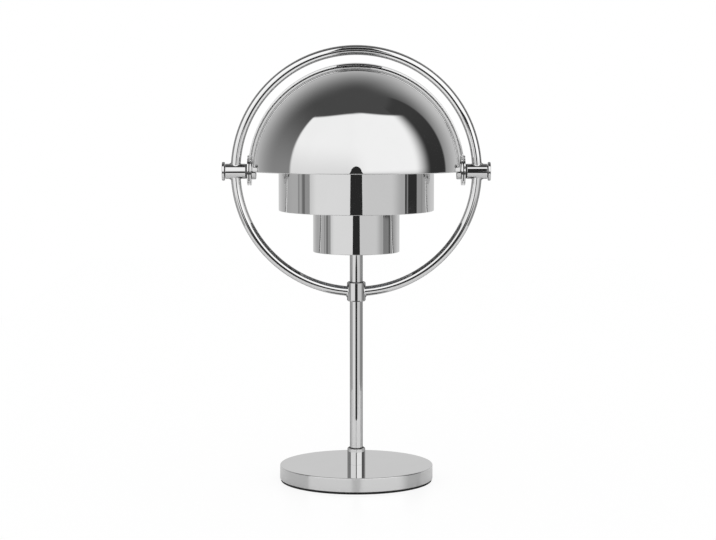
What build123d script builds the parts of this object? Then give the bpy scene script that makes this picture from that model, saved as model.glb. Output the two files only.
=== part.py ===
from build123d import *

import os
from math import asin, cos, degrees, radians, sin, sqrt

# Sizes in millimetres: the origin is on the table under the stem, +Z is up and -Y is the front.

# Base
base_dia = 95.2
base_height = 10.0
base_wall = 1.5
base_edge_radius = 0.6
foot_thickness = 1.2
foot_inset = 0.5
plate_thickness = 1.2
plate_play = 0.1
plate_screw_count = 3
plate_screw_dia = 3.0
plate_screw_length = 5.0
plate_screw_inset = 6.6

# What the base holds
weight_play = 0.5
cell_length = 36.0
cell_thickness = 5.0
cell_inner_edge = 13.0
cell_board_gap = 2.5
cell_rim = 2.0
cell_corner = 1.5
cell_edge = 0.8
board_width = 28.0
board_length = 28.0
board_thickness = 1.2
board_edge_gap = 2.2
board_chip_size = 6.0
board_coil_length = 7.0
board_coil_width = 5.0
board_chip_height = 1.2
pocket_play = 0.5
stem_nut_pocket = 9.0

# Charging socket and push button
socket_width = 8.9
socket_height = 3.2
socket_depth = 7.4
socket_wall = 0.3
socket_floor = 1.0
socket_recess = 0.6
socket_tongue_width = 6.7
socket_tongue_thickness = 0.7
socket_slot_play = 0.25
button_offset = 11.5
button_dia = 4.4
button_play = 0.1
button_proud = 0.8
button_flange_dia = 5.4
button_flange_thickness = 0.8
button_flange_gap = 0.2
button_travel = 0.6
switch_width = 6.0
switch_depth = 3.4
switch_height = 3.6
switch_gap = 0.1

# Stem and collars
stem_dia = 8.0
stem_wall = 1.0
stem_play = 0.04
nut_across_flats = 13.0
nut_thickness = 3.0
base_collar_dia = 11.0
base_collar_height = 10.4
ring_collar_dia = 11.5
ring_collar_height = 12.0
collar_chamfer = 0.6
set_screw_dia = 3.0
set_screw_recess = 0.3
lead_dia = 1.8
lead_bend = 2.4
lead_on_board = 4.0

# Ring and pivots
pivot_height = 192.7
ring_bar_dia = 6.0
flare_dia = 7.4
flare_height = 1.0
flare_root = 0.8
barrel_dia = 9.2
barrel_length = 12.6
barrel_chamfer = 0.3
bolt_dia = 4.0
bolt_play = 0.05
bolt_neck_dia = 6.6
bolt_neck_length = 0.4
bolt_head_dia = 11.4
bolt_head_thickness = 1.6
bolt_head_round = 0.4
slip = 0.05
thrust_washer_dia = 9.0
thrust_washer_thickness = 0.95
friction_washer_dia = 12.0
pivot_nut_dia = 9.8
pivot_nut_thickness = 2.8
pivot_nut_bottom = 0.8

# Turning shades
rear_shade_radius = 66.6
shade_thickness = 1.0
shade_gap = 0.45
shade_span = 90.0
front_shade_lift = 1.2
rear_shade_lap = 7.5
ear_dia = 17.4
ear_thickness = 1.0
ear_rise = 0.45
ear_clearance = 0.6
boss_slope = 0.5
boss_step = 0.4

# Inner lamp
large_cylinder_dia = 95.8
large_cylinder_height = 48.0
large_cylinder_drop = 24.0
small_cylinder_dia = 53.4
small_cylinder_drop = 49.6
cylinder_wall = 1.0
cylinder_overlap = 6.0
spider_thickness = 1.5
spider_hub_dia = 24.0
spider_arm_count = 3
spider_arm_width = 9.0
spider_tab_height = 7.0
spider_play = 0.05
heat_sink_dia = 34.0
heat_sink_height = 7.0
heat_sink_floor = 2.4
led_board_dia = 32.0
led_board_thickness = 1.6
led_count = 12
led_circle_dia = 22.0
led_length = 3.5
led_width = 2.8
led_height = 0.7
diffuser_wall = 1.5
diffuser_height = 26.0
diffuser_play = 0.1
diffuser_round = 6.0

# Levels and radii that follow from the sizes above
base_radius = base_dia / 2
base_inner_radius = base_radius - base_wall
base_ceiling = base_height - base_wall
plate_top = foot_thickness + plate_thickness
weight_radius = base_inner_radius - weight_play
board_rear = sqrt((base_inner_radius - board_edge_gap) ** 2 - (board_width / 2) ** 2)
board_front = board_rear - board_length
cell_rear_edge = board_front - cell_board_gap
cell_front_edge = cell_rear_edge - cell_length
cell_corner_reach = weight_radius - cell_rim - sqrt(2) * pocket_play
cell_outer_edge = sqrt(cell_corner_reach**2 - cell_front_edge**2)
cell_width = cell_outer_edge - cell_inner_edge
board_top = plate_top + board_thickness
socket_level = board_top + socket_height / 2
switch_level = board_top + switch_height / 2
button_angle = asin(button_offset / base_radius)
stem_radius = stem_dia / 2
front_shade_radius = rear_shade_radius - shade_thickness - shade_gap
rear_ear_face = rear_shade_radius + ear_rise
front_ear_face = front_shade_radius + ear_rise
barrel_start = rear_ear_face + thrust_washer_thickness + 2 * slip
ring_radius = barrel_start + barrel_length / 2
ring_low_point = pivot_height - ring_radius
pivot_nut_start = front_ear_face - ear_thickness - slip - pivot_nut_thickness
large_cylinder_low = pivot_height - large_cylinder_drop
small_cylinder_low = pivot_height - small_cylinder_drop
spider_level = large_cylinder_low + cylinder_overlap
spider_top = spider_level + spider_thickness
heat_sink_level = spider_top + nut_thickness
stem_low = base_ceiling - nut_thickness
stem_high = heat_sink_level + heat_sink_height - heat_sink_floor
led_board_level = heat_sink_level + heat_sink_height
diffuser_level = heat_sink_level + heat_sink_height / 2


def level(height):
    """Horizontal plane at a height above the table."""
    return Plane.XY.offset(height)


def pivot_plane(side, distance):
    """Plane across the shades' axis, facing outwards on the left (-1) or right (1) side."""
    return Plane(origin=(side * distance, 0, pivot_height), x_dir=(0, 1, 0), z_dir=(side, 0, 0))


def ring_plane(angle):
    """Cross section of the ring bar at an angle measured from the right end of the axis."""
    along = radians(angle)
    centre = (ring_radius * cos(along), 0, pivot_height + ring_radius * sin(along))
    return Plane(origin=centre, x_dir=(0, 1, 0), z_dir=(-sin(along), 0, cos(along)))


def button_plane(distance):
    """Plane across the button's axis, facing outwards, at a distance from the stem's axis."""
    out = (sin(button_angle), cos(button_angle), 0)
    origin = (distance * out[0], distance * out[1], switch_level)
    return Plane(origin=origin, x_dir=(0, 0, 1), z_dir=out)


def washer(plane, outer_dia, inner_dia, thickness):
    """Flat ring raised from a plane."""
    with BuildPart() as flat_ring:
        with BuildSketch(plane):
            Circle(outer_dia / 2)
            Circle(inner_dia / 2, mode=Mode.SUBTRACT)
        extrude(amount=thickness)
    return flat_ring


def stem_nut(height):
    """Thin hexagon nut on the stem."""
    with BuildPart() as nut:
        with BuildSketch(level(height)):
            RegularPolygon(nut_across_flats / 2, 6, major_radius=False)
            Circle(stem_radius, mode=Mode.SUBTRACT)
        extrude(amount=nut_thickness)
    return nut


def tube(outer_dia, wall, low, high):
    """Upright open tube between two heights."""
    with BuildPart() as pipe:
        with BuildSketch(level(low)):
            Circle(outer_dia / 2)
            Circle(outer_dia / 2 - wall, mode=Mode.SUBTRACT)
        extrude(amount=high - low)
    return pipe


# Base shell, with the stem hole, the socket slot and the button hole
with BuildPart() as base_shell:
    with BuildSketch(level(foot_thickness)):
        Circle(base_radius)
    extrude(amount=base_height - foot_thickness)
    fillet(base_shell.edges().group_by(Axis.Z)[-1], base_edge_radius)
    with BuildSketch(level(foot_thickness)):
        Circle(base_inner_radius)
    extrude(amount=base_ceiling - foot_thickness, mode=Mode.SUBTRACT)
    with BuildSketch(level(base_ceiling)):
        Circle(stem_radius + stem_play)
    extrude(amount=base_wall, mode=Mode.SUBTRACT)
    with BuildSketch(Plane(origin=(0, board_rear, socket_level), x_dir=(-1, 0, 0), z_dir=(0, 1, 0))):
        slot_height = socket_height + 2 * socket_slot_play
        RectangleRounded(socket_width + 2 * socket_slot_play, slot_height, slot_height / 2 - 0.01)
    extrude(amount=base_radius, mode=Mode.SUBTRACT)
    with BuildSketch(button_plane(base_inner_radius - base_wall)):
        Circle(button_dia / 2 + button_play)
    extrude(amount=base_radius, mode=Mode.SUBTRACT)

# Foot pad
with BuildPart() as foot_pad:
    with BuildSketch():
        Circle(base_radius - foot_inset)
    extrude(amount=foot_thickness)

# Cover under the base and the screws that hold it
screw_circle = weight_radius - plate_screw_inset + weight_play
screw_spots = PolarLocations(screw_circle, plate_screw_count, start_angle=30)
screw_head_height = plate_thickness * 0.8

with BuildPart() as base_plate:
    with BuildSketch(level(foot_thickness)):
        Circle(base_inner_radius - plate_play)
        with screw_spots:
            Circle(plate_screw_dia / 2, mode=Mode.SUBTRACT)
    extrude(amount=plate_thickness)
    with BuildSketch(level(foot_thickness)):
        with screw_spots:
            Circle(plate_screw_dia / 2 + screw_head_height)
    extrude(amount=screw_head_height, taper=45, mode=Mode.SUBTRACT)

with BuildPart() as base_plate_screws:
    with BuildSketch(level(foot_thickness)):
        with screw_spots:
            Circle(plate_screw_dia / 2)
    extrude(amount=plate_screw_length)
    with BuildSketch(level(foot_thickness)):
        with screw_spots:
            Circle(plate_screw_dia / 2 + screw_head_height)
    extrude(amount=screw_head_height, taper=45)
    with BuildSketch(level(foot_thickness)):
        with screw_spots:
            RectangleRounded(plate_screw_dia, plate_screw_dia / 4, plate_screw_dia / 10)
    extrude(amount=screw_head_height / 2, mode=Mode.SUBTRACT)

# Weight, with pockets for the cells, the board and the stem nut
cell_middle = (cell_inner_edge + cell_width / 2, cell_rear_edge - cell_length / 2)
board_middle = (board_rear + board_front) / 2

with BuildPart() as base_weight:
    with BuildSketch(level(plate_top)):
        Circle(weight_radius)
        Circle(stem_nut_pocket, mode=Mode.SUBTRACT)
        with Locations((cell_middle[0], cell_middle[1]), (-cell_middle[0], cell_middle[1])):
            Rectangle(cell_width + 2 * pocket_play, cell_length + 2 * pocket_play, mode=Mode.SUBTRACT)
        with Locations((0, weight_radius)):
            pocket_reach = 2 * (weight_radius - board_front + pocket_play)
            Rectangle(board_width + 2 * pocket_play, pocket_reach, mode=Mode.SUBTRACT)
        with Locations((0, board_front / 2)):
            Rectangle(lead_dia + 2 * pocket_play, board_front, mode=Mode.SUBTRACT)
    extrude(amount=base_ceiling - plate_top)
    with BuildSketch(level(plate_top)):
        with screw_spots:
            Circle(plate_screw_dia / 2)
    extrude(amount=plate_screw_length - plate_thickness, mode=Mode.SUBTRACT)


def battery_cell(side):
    """Flat pouch cell on one side of the stem."""
    with BuildPart() as cell:
        with BuildSketch(level(plate_top)):
            with Locations((side * cell_middle[0], cell_middle[1])):
                RectangleRounded(cell_width, cell_length, cell_corner)
        extrude(amount=cell_thickness)
        fillet(cell.edges().group_by(Axis.Z)[-1], cell_edge)
    return cell


battery_cell_left = battery_cell(-1)
battery_cell_right = battery_cell(1)

# Control board and what sits on it
with BuildPart() as control_board:
    with BuildSketch(level(plate_top)):
        with Locations((0, board_middle)):
            RectangleRounded(board_width, board_length, 1.0)
    extrude(amount=board_thickness)
    with BuildSketch(level(board_top)):
        with Locations((-board_width / 4, board_middle - board_length / 5)):
            Rectangle(board_chip_size, board_chip_size)
        with Locations((board_width / 5, board_middle - board_length / 4)):
            Rectangle(board_coil_length, board_coil_width)
    extrude(amount=board_chip_height)

socket_face = base_radius - socket_recess
with BuildPart() as charge_socket:
    with BuildSketch(Plane(origin=(0, socket_face, socket_level), x_dir=(1, 0, 0), z_dir=(0, -1, 0))):
        RectangleRounded(socket_width, socket_height, socket_height / 2 - 0.01)
    extrude(amount=socket_depth)
    cavity_height = socket_height - 2 * socket_wall
    with BuildSketch(Plane(origin=(0, socket_face, socket_level), x_dir=(1, 0, 0), z_dir=(0, -1, 0))):
        RectangleRounded(socket_width - 2 * socket_wall, cavity_height, cavity_height / 2 - 0.01)
        Rectangle(socket_tongue_width, socket_tongue_thickness, mode=Mode.SUBTRACT)
    extrude(amount=socket_depth - socket_floor, mode=Mode.SUBTRACT)

button_flange_face = sqrt(base_inner_radius**2 - (button_flange_dia / 2) ** 2) - button_flange_gap
with BuildPart() as power_button:
    with BuildSketch(button_plane(button_flange_face - button_flange_thickness)):
        Circle(button_flange_dia / 2)
    extrude(amount=button_flange_thickness)
    with BuildSketch(button_plane(button_flange_face)):
        Circle(button_dia / 2)
    extrude(amount=base_radius + button_proud - button_flange_face)
    fillet(power_button.edges().sort_by(Axis.Y)[-1], 0.4)

switch_face = button_flange_face - button_flange_thickness - button_travel - switch_gap
with BuildPart() as button_switch:
    with BuildSketch(button_plane(switch_face - switch_depth)):
        Rectangle(switch_height, switch_width)
    extrude(amount=switch_depth)

# Stem, its collars and nuts
stem_tube = tube(stem_dia, stem_wall, stem_low, stem_high)
stem_nut_base = stem_nut(base_ceiling - nut_thickness)
stem_nut_lower = stem_nut(spider_level - nut_thickness)
stem_nut_upper = stem_nut(spider_top)

with BuildPart() as base_collar:
    with BuildSketch(level(base_height)):
        Circle(base_collar_dia / 2)
    extrude(amount=base_collar_height)
    chamfer(base_collar.edges().group_by(Axis.Z)[-1], collar_chamfer)
    with BuildSketch(level(base_height)):
        Circle(stem_radius + stem_play)
    extrude(amount=base_collar_height, mode=Mode.SUBTRACT)

ring_collar_low = ring_low_point - ring_collar_height / 2
set_screw_plane = Plane(origin=(0, stem_radius + stem_play, ring_low_point), x_dir=(-1, 0, 0), z_dir=(0, 1, 0))
set_screw_length = ring_collar_dia / 2 - stem_radius - set_screw_recess
with BuildPart() as ring_collar:
    with BuildSketch(level(ring_collar_low)):
        Circle(ring_collar_dia / 2)
    extrude(amount=ring_collar_height)
    chamfer(ring_collar.edges().group_by(Axis.Z)[0], collar_chamfer)
    chamfer(ring_collar.edges().group_by(Axis.Z)[-1], collar_chamfer)
    with BuildSketch(level(ring_collar_low)):
        Circle(stem_radius + stem_play)
    extrude(amount=ring_collar_height, mode=Mode.SUBTRACT)
    with BuildSketch(set_screw_plane):
        Circle(set_screw_dia / 2)
    extrude(amount=ring_collar_dia, mode=Mode.SUBTRACT)

with BuildPart() as ring_set_screw:
    with BuildSketch(set_screw_plane):
        Circle(set_screw_dia / 2)
    extrude(amount=set_screw_length)
    with BuildSketch(set_screw_plane.offset(set_screw_length)):
        RegularPolygon(set_screw_dia / 4, 6, major_radius=False)
    extrude(amount=-set_screw_length * 0.6, mode=Mode.SUBTRACT)

# Lead from the board through the stem to the light
lead_level = board_top + lead_dia / 2
with BuildPart() as stem_lead:
    with BuildLine() as lead_route:
        FilletPolyline(
            (0, board_front + lead_on_board, lead_level),
            (0, 0, lead_level),
            (0, 0, led_board_level),
            radius=lead_bend,
        )
    with BuildSketch(Plane(origin=lead_route.wire() @ 0, z_dir=lead_route.wire() % 0)):
        Circle(lead_dia / 2)
    sweep()


def ring_arc(start, sweep_angle, flares, sides, at_collar):
    """Bent bar of the ring, flared where it meets a barrel or the collar and coped to them."""
    with BuildPart() as arc:
        with BuildSketch(ring_plane(start)):
            Circle(ring_bar_dia / 2)
        revolve(axis=Axis((0, 0, pivot_height), (0, -1, 0)), revolution_arc=sweep_angle)
        for end, way, radius in flares:
            near = end + way * degrees((radius - flare_root) / ring_radius)
            far = end + way * degrees((radius + flare_height) / ring_radius)
            with BuildSketch(ring_plane(near)):
                Circle(flare_dia / 2)
            with BuildSketch(ring_plane(far)):
                Circle(ring_bar_dia / 2)
            loft()
        for side in sides:
            with BuildSketch(pivot_plane(side, barrel_start)):
                Circle(barrel_dia / 2)
            extrude(amount=barrel_length, mode=Mode.SUBTRACT)
        if at_collar:
            with BuildSketch(level(ring_collar_low)):
                Circle(ring_collar_dia / 2)
            extrude(amount=ring_collar_height, mode=Mode.SUBTRACT)
    return arc


barrel_radius = barrel_dia / 2
ring_collar_radius = ring_collar_dia / 2
ring_upper_arc = ring_arc(0, 180, [(0, 1, barrel_radius), (180, -1, barrel_radius)], (-1, 1), False)
ring_lower_arc_left = ring_arc(-180, 90, [(-180, 1, barrel_radius), (-90, -1, ring_collar_radius)], (-1,), True)
ring_lower_arc_right = ring_arc(-90, 90, [(0, -1, barrel_radius), (-90, 1, ring_collar_radius)], (1,), True)


def pivot_barrel(side):
    """Cross barrel on the ring that carries a pivot bolt."""
    with BuildPart() as barrel:
        with BuildSketch(pivot_plane(side, barrel_start)):
            Circle(barrel_radius)
        extrude(amount=barrel_length)
        chamfer(barrel.edges(), barrel_chamfer)
        with BuildSketch(pivot_plane(side, barrel_start)):
            Circle(bolt_dia / 2 + bolt_play)
        extrude(amount=barrel_length, mode=Mode.SUBTRACT)
    return barrel


def pivot_bolt(side):
    """Pivot bolt with a round flat head outside the barrel."""
    barrel_end = barrel_start + barrel_length
    shank_start = pivot_nut_start + pivot_nut_bottom
    with BuildPart() as bolt:
        with BuildSketch(pivot_plane(side, barrel_end + bolt_neck_length)):
            Circle(bolt_head_dia / 2)
        extrude(amount=bolt_head_thickness)
        fillet(bolt.edges(), bolt_head_round)
        with BuildSketch(pivot_plane(side, barrel_end)):
            Circle(bolt_neck_dia / 2)
        extrude(amount=bolt_neck_length)
        with BuildSketch(pivot_plane(side, shank_start)):
            Circle(bolt_dia / 2)
        extrude(amount=barrel_end - shank_start)
    return bolt


def pivot_nut(side):
    """Round closed nut on the inner end of a pivot bolt."""
    with BuildPart() as nut:
        with BuildSketch(pivot_plane(side, pivot_nut_start)):
            Circle(pivot_nut_dia / 2)
        extrude(amount=pivot_nut_thickness)
        fillet(nut.edges(), bolt_head_round)
        with BuildSketch(pivot_plane(side, pivot_nut_start + pivot_nut_bottom)):
            Circle(bolt_dia / 2)
        extrude(amount=pivot_nut_thickness, mode=Mode.SUBTRACT)
    return nut


bore_dia = bolt_dia + 2 * bolt_play
friction_washer_thickness = rear_ear_face - ear_thickness - front_ear_face - 2 * slip
thrust_washer_plane = rear_ear_face + slip
friction_washer_plane = front_ear_face + slip
pivot_barrel_left = pivot_barrel(-1)
pivot_barrel_right = pivot_barrel(1)
pivot_bolt_left = pivot_bolt(-1)
pivot_bolt_right = pivot_bolt(1)
pivot_nut_left = pivot_nut(-1)
pivot_nut_right = pivot_nut(1)
thrust_washer_left = washer(
    pivot_plane(-1, thrust_washer_plane), thrust_washer_dia, bore_dia, thrust_washer_thickness
)
thrust_washer_right = washer(
    pivot_plane(1, thrust_washer_plane), thrust_washer_dia, bore_dia, thrust_washer_thickness
)
friction_washer_left = washer(
    pivot_plane(-1, friction_washer_plane), friction_washer_dia, bore_dia, friction_washer_thickness
)
friction_washer_right = washer(
    pivot_plane(1, friction_washer_plane), friction_washer_dia, bore_dia, friction_washer_thickness
)


def quarter_shade(radius, ear_face, first_angle, boss_radius):
    """Quarter-sphere shell with a raised boss and a flat round ear at each pole.

    The shell starts at first_angle, measured from the level front and upwards over the top.
    """
    inner = radius - shade_thickness
    rim = boss_radius + boss_slope
    inner_rim = rim - boss_step
    start = radians(first_angle)
    profile_plane = Plane(
        origin=(0, 0, pivot_height), x_dir=(1, 0, 0), z_dir=(0, -sin(start), -cos(start))
    )
    outer_x = sqrt(radius**2 - rim**2)
    inner_x = sqrt(inner**2 - inner_rim**2)
    back_face = ear_face - ear_thickness
    with BuildPart() as shade:
        with BuildSketch(profile_plane):
            with BuildLine():
                Polyline((ear_face, 0), (ear_face, boss_radius), (outer_x, rim))
                ThreePointArc((outer_x, rim), (0, radius), (-outer_x, rim))
                Polyline((-outer_x, rim), (-ear_face, boss_radius), (-ear_face, 0), (-back_face, 0))
                Polyline((-back_face, 0), (-back_face, boss_radius - boss_step), (-inner_x, inner_rim))
                ThreePointArc((-inner_x, inner_rim), (0, inner), (inner_x, inner_rim))
                Polyline((inner_x, inner_rim), (back_face, boss_radius - boss_step), (back_face, 0))
                Line((back_face, 0), (ear_face, 0))
            make_face()
        revolve(axis=Axis((0, 0, pivot_height), (-1, 0, 0)), revolution_arc=shade_span)
        for side in (-1, 1):
            with BuildSketch(pivot_plane(side, back_face)):
                Circle(ear_dia / 2)
            extrude(amount=ear_thickness)
        for side in (-1, 1):
            with BuildSketch(pivot_plane(side, back_face)):
                Circle(bolt_dia / 2 + bolt_play)
            extrude(amount=ear_thickness, mode=Mode.SUBTRACT)
    return shade


front_boss = ear_dia / 2
rear_boss = front_boss + ear_clearance + boss_step
front_shade = quarter_shade(front_shade_radius, front_ear_face, front_shade_lift, front_boss)
rear_shade = quarter_shade(rear_shade_radius, rear_ear_face, 180 - shade_span - rear_shade_lap, rear_boss)

# Inner lamp: the two open cylinders and the bracket that carries them
large_cylinder = tube(
    large_cylinder_dia, cylinder_wall, large_cylinder_low, large_cylinder_low + large_cylinder_height
)
small_cylinder = tube(small_cylinder_dia, cylinder_wall, small_cylinder_low, spider_level)
spider_reach = large_cylinder_dia / 2 - cylinder_wall - spider_play
spider_inner_reach = small_cylinder_dia / 2 - cylinder_wall - spider_play
spider_arms = PolarLocations(0, spider_arm_count, start_angle=-90)

with BuildPart() as shade_spider:
    with BuildSketch(level(spider_level)):
        with spider_arms:
            Rectangle(spider_reach + 1.0, spider_arm_width, align=(Align.MIN, Align.CENTER))
        Circle(spider_reach, mode=Mode.INTERSECT)
        Circle(spider_hub_dia / 2)
        Circle(stem_radius + stem_play, mode=Mode.SUBTRACT)
    extrude(amount=spider_thickness)
    for reach, rise in ((spider_reach, spider_tab_height), (spider_inner_reach, -spider_tab_height)):
        with BuildSketch(level(spider_level)):
            with spider_arms:
                Rectangle(reach + 1.0, spider_arm_width, align=(Align.MIN, Align.CENTER))
            Circle(reach, mode=Mode.INTERSECT)
            Circle(reach - spider_thickness, mode=Mode.SUBTRACT)
        extrude(amount=rise)

# Light source
with BuildPart() as heat_sink:
    with BuildSketch(level(heat_sink_level)):
        Circle(heat_sink_dia / 2)
    extrude(amount=heat_sink_height)
    with BuildSketch(level(heat_sink_level)):
        Circle(stem_radius + stem_play)
    extrude(amount=heat_sink_height - heat_sink_floor, mode=Mode.SUBTRACT)
    with BuildSketch(level(heat_sink_level)):
        Circle(lead_dia / 2 + pocket_play)
    extrude(amount=heat_sink_height, mode=Mode.SUBTRACT)

with BuildPart() as led_board:
    with BuildSketch(level(led_board_level)):
        Circle(led_board_dia / 2)
    extrude(amount=led_board_thickness)

with BuildPart() as led_chips:
    with BuildSketch(level(led_board_level + led_board_thickness)):
        with PolarLocations(led_circle_dia / 2, led_count):
            Rectangle(led_length, led_width)
    extrude(amount=led_height)

diffuser_inner_dia = heat_sink_dia + 2 * diffuser_play
with BuildPart() as diffuser:
    with BuildSketch(level(diffuser_level)):
        Circle(diffuser_inner_dia / 2 + diffuser_wall)
    extrude(amount=diffuser_height)
    fillet(diffuser.edges().group_by(Axis.Z)[-1], diffuser_round)
    offset(amount=-diffuser_wall, openings=diffuser.faces().sort_by(Axis.Z)[0])

pieces = {
    "foot_pad": foot_pad,
    "base_shell": base_shell,
    "base_plate": base_plate,
    "base_plate_screws": base_plate_screws,
    "base_weight": base_weight,
    "battery_cell_left": battery_cell_left,
    "battery_cell_right": battery_cell_right,
    "control_board": control_board,
    "charge_socket": charge_socket,
    "button_switch": button_switch,
    "power_button": power_button,
    "stem_nut_base": stem_nut_base,
    "base_collar": base_collar,
    "stem_tube": stem_tube,
    "stem_lead": stem_lead,
    "ring_collar": ring_collar,
    "ring_set_screw": ring_set_screw,
    "ring_upper_arc": ring_upper_arc,
    "ring_lower_arc_left": ring_lower_arc_left,
    "ring_lower_arc_right": ring_lower_arc_right,
    "pivot_barrel_left": pivot_barrel_left,
    "pivot_barrel_right": pivot_barrel_right,
    "pivot_bolt_left": pivot_bolt_left,
    "pivot_bolt_right": pivot_bolt_right,
    "thrust_washer_left": thrust_washer_left,
    "thrust_washer_right": thrust_washer_right,
    "friction_washer_left": friction_washer_left,
    "friction_washer_right": friction_washer_right,
    "pivot_nut_left": pivot_nut_left,
    "pivot_nut_right": pivot_nut_right,
    "front_shade": front_shade,
    "rear_shade": rear_shade,
    "large_cylinder": large_cylinder,
    "small_cylinder": small_cylinder,
    "shade_spider": shade_spider,
    "stem_nut_lower": stem_nut_lower,
    "stem_nut_upper": stem_nut_upper,
    "heat_sink": heat_sink,
    "led_board": led_board,
    "led_chips": led_chips,
    "diffuser": diffuser,
}

os.makedirs("parts", exist_ok=True)
for label, piece in pieces.items():
    piece.part.label = label
    export_step(piece.part, f"parts/{label}.step")
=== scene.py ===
"""Looks of a portable table lamp: chromed base, stem, ring and turning shades, in a pale studio."""

import logging
import math
from collections.abc import Sequence
from dataclasses import dataclass, field
from enum import Enum
from functools import cached_property

import bpy
from mathutils import Matrix, Vector
from mathutils.geometry import tessellate_polygon


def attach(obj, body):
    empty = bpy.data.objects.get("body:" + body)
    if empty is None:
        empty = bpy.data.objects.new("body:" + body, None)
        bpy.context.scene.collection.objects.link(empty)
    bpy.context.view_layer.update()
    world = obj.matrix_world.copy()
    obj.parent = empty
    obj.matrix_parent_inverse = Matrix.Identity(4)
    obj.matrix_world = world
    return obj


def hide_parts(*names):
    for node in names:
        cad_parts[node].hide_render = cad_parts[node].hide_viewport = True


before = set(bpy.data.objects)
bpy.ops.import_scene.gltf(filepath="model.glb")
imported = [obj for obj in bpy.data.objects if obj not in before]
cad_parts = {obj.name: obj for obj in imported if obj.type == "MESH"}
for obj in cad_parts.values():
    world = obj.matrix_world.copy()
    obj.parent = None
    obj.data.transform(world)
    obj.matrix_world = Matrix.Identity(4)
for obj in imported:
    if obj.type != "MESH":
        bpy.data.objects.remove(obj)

LOG = logging.getLogger("lamp")
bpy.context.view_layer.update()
MM = 0.001
TINY = 1e-6
PIVOT_HEIGHT = 192.7

# Sockets of the mix node, which repeat their names: the share, two numbers, two colours, the mixed colour.
SHARE, NUMBER_A, NUMBER_B, COLOUR_A, COLOUR_B = 0, 2, 3, 6, 7
MIXED_COLOUR = 2
# The wave texture turns by this many radians per unit of length.
WAVE_RADIANS = 20.0
# The brick texture's rows are this high at a scale of 1.
BRICK_ROW = 0.25

Point = tuple[float, float]
Spot = tuple[Vector, Vector]
EdgeStep = tuple[float, float, float]


class Body(Enum):
    """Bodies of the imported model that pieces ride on."""

    STAND = "stand"
    FRONT_SHADE = "front_shade_body"
    REAR_SHADE = "rear_shade_body"
    BUTTON = "button_body"


class Side(Enum):
    """The two ends of the shades' axis."""

    LEFT = -1
    RIGHT = 1

    @property
    def word(self) -> str:
        """Name of the side as the nodes spell it."""
        return self.name.lower()


def linear(code: str) -> tuple[float, float, float, float]:
    """Turn an sRGB hex colour to linear.

    Args:
        code: Colour as #RRGGBB.

    Returns:
        Linear red, green and blue, and an alpha of 1.
    """
    parts = [int(code[i:i + 2], 16) / 255 for i in (1, 3, 5)]
    red, green, blue = (c / 12.92 if c <= 0.04045 else ((c + 0.055) / 1.055) ** 2.4 for c in parts)
    return red, green, blue, 1.0


def add_node(
    tree: bpy.types.NodeTree,
    kind: str,
    settings: dict[str, object] | None = None,
    inputs: dict[str | int, object] | None = None,
) -> bpy.types.Node:
    """Add a node with its settings and links.

    Args:
        tree: Node tree that gets the node.
        kind: Blender's name for the node type.
        settings: Values of the node's own properties.
        inputs: Values of its input sockets, or the output sockets linked to them.

    Returns:
        The new node.
    """
    node = tree.nodes.new(kind)
    for name, value in (settings or {}).items():
        setattr(node, name, value)
    for name, value in (inputs or {}).items():
        if isinstance(value, bpy.types.NodeSocket):
            tree.links.new(value, node.inputs[name])
        else:
            node.inputs[name].default_value = value
    return node


# Finishes


@dataclass(frozen=True)
class Finish:
    """Common start and end of every finish."""

    name: str

    def begin(self) -> tuple[bpy.types.Material, bpy.types.NodeTree]:
        """Make the empty material.

        Returns:
            The material and its node tree.
        """
        material = bpy.data.materials.new(self.name)
        material.use_nodes = True
        material.node_tree.nodes.clear()
        return material, material.node_tree

    def end(self, tree: bpy.types.NodeTree, shader: bpy.types.Node) -> None:
        """Link the shader to the material's surface."""
        add_node(tree, "ShaderNodeOutputMaterial", inputs={"Surface": shader.outputs[0]})

    def material(self) -> bpy.types.Material:
        """Build the material of this finish."""
        raise NotImplementedError


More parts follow.
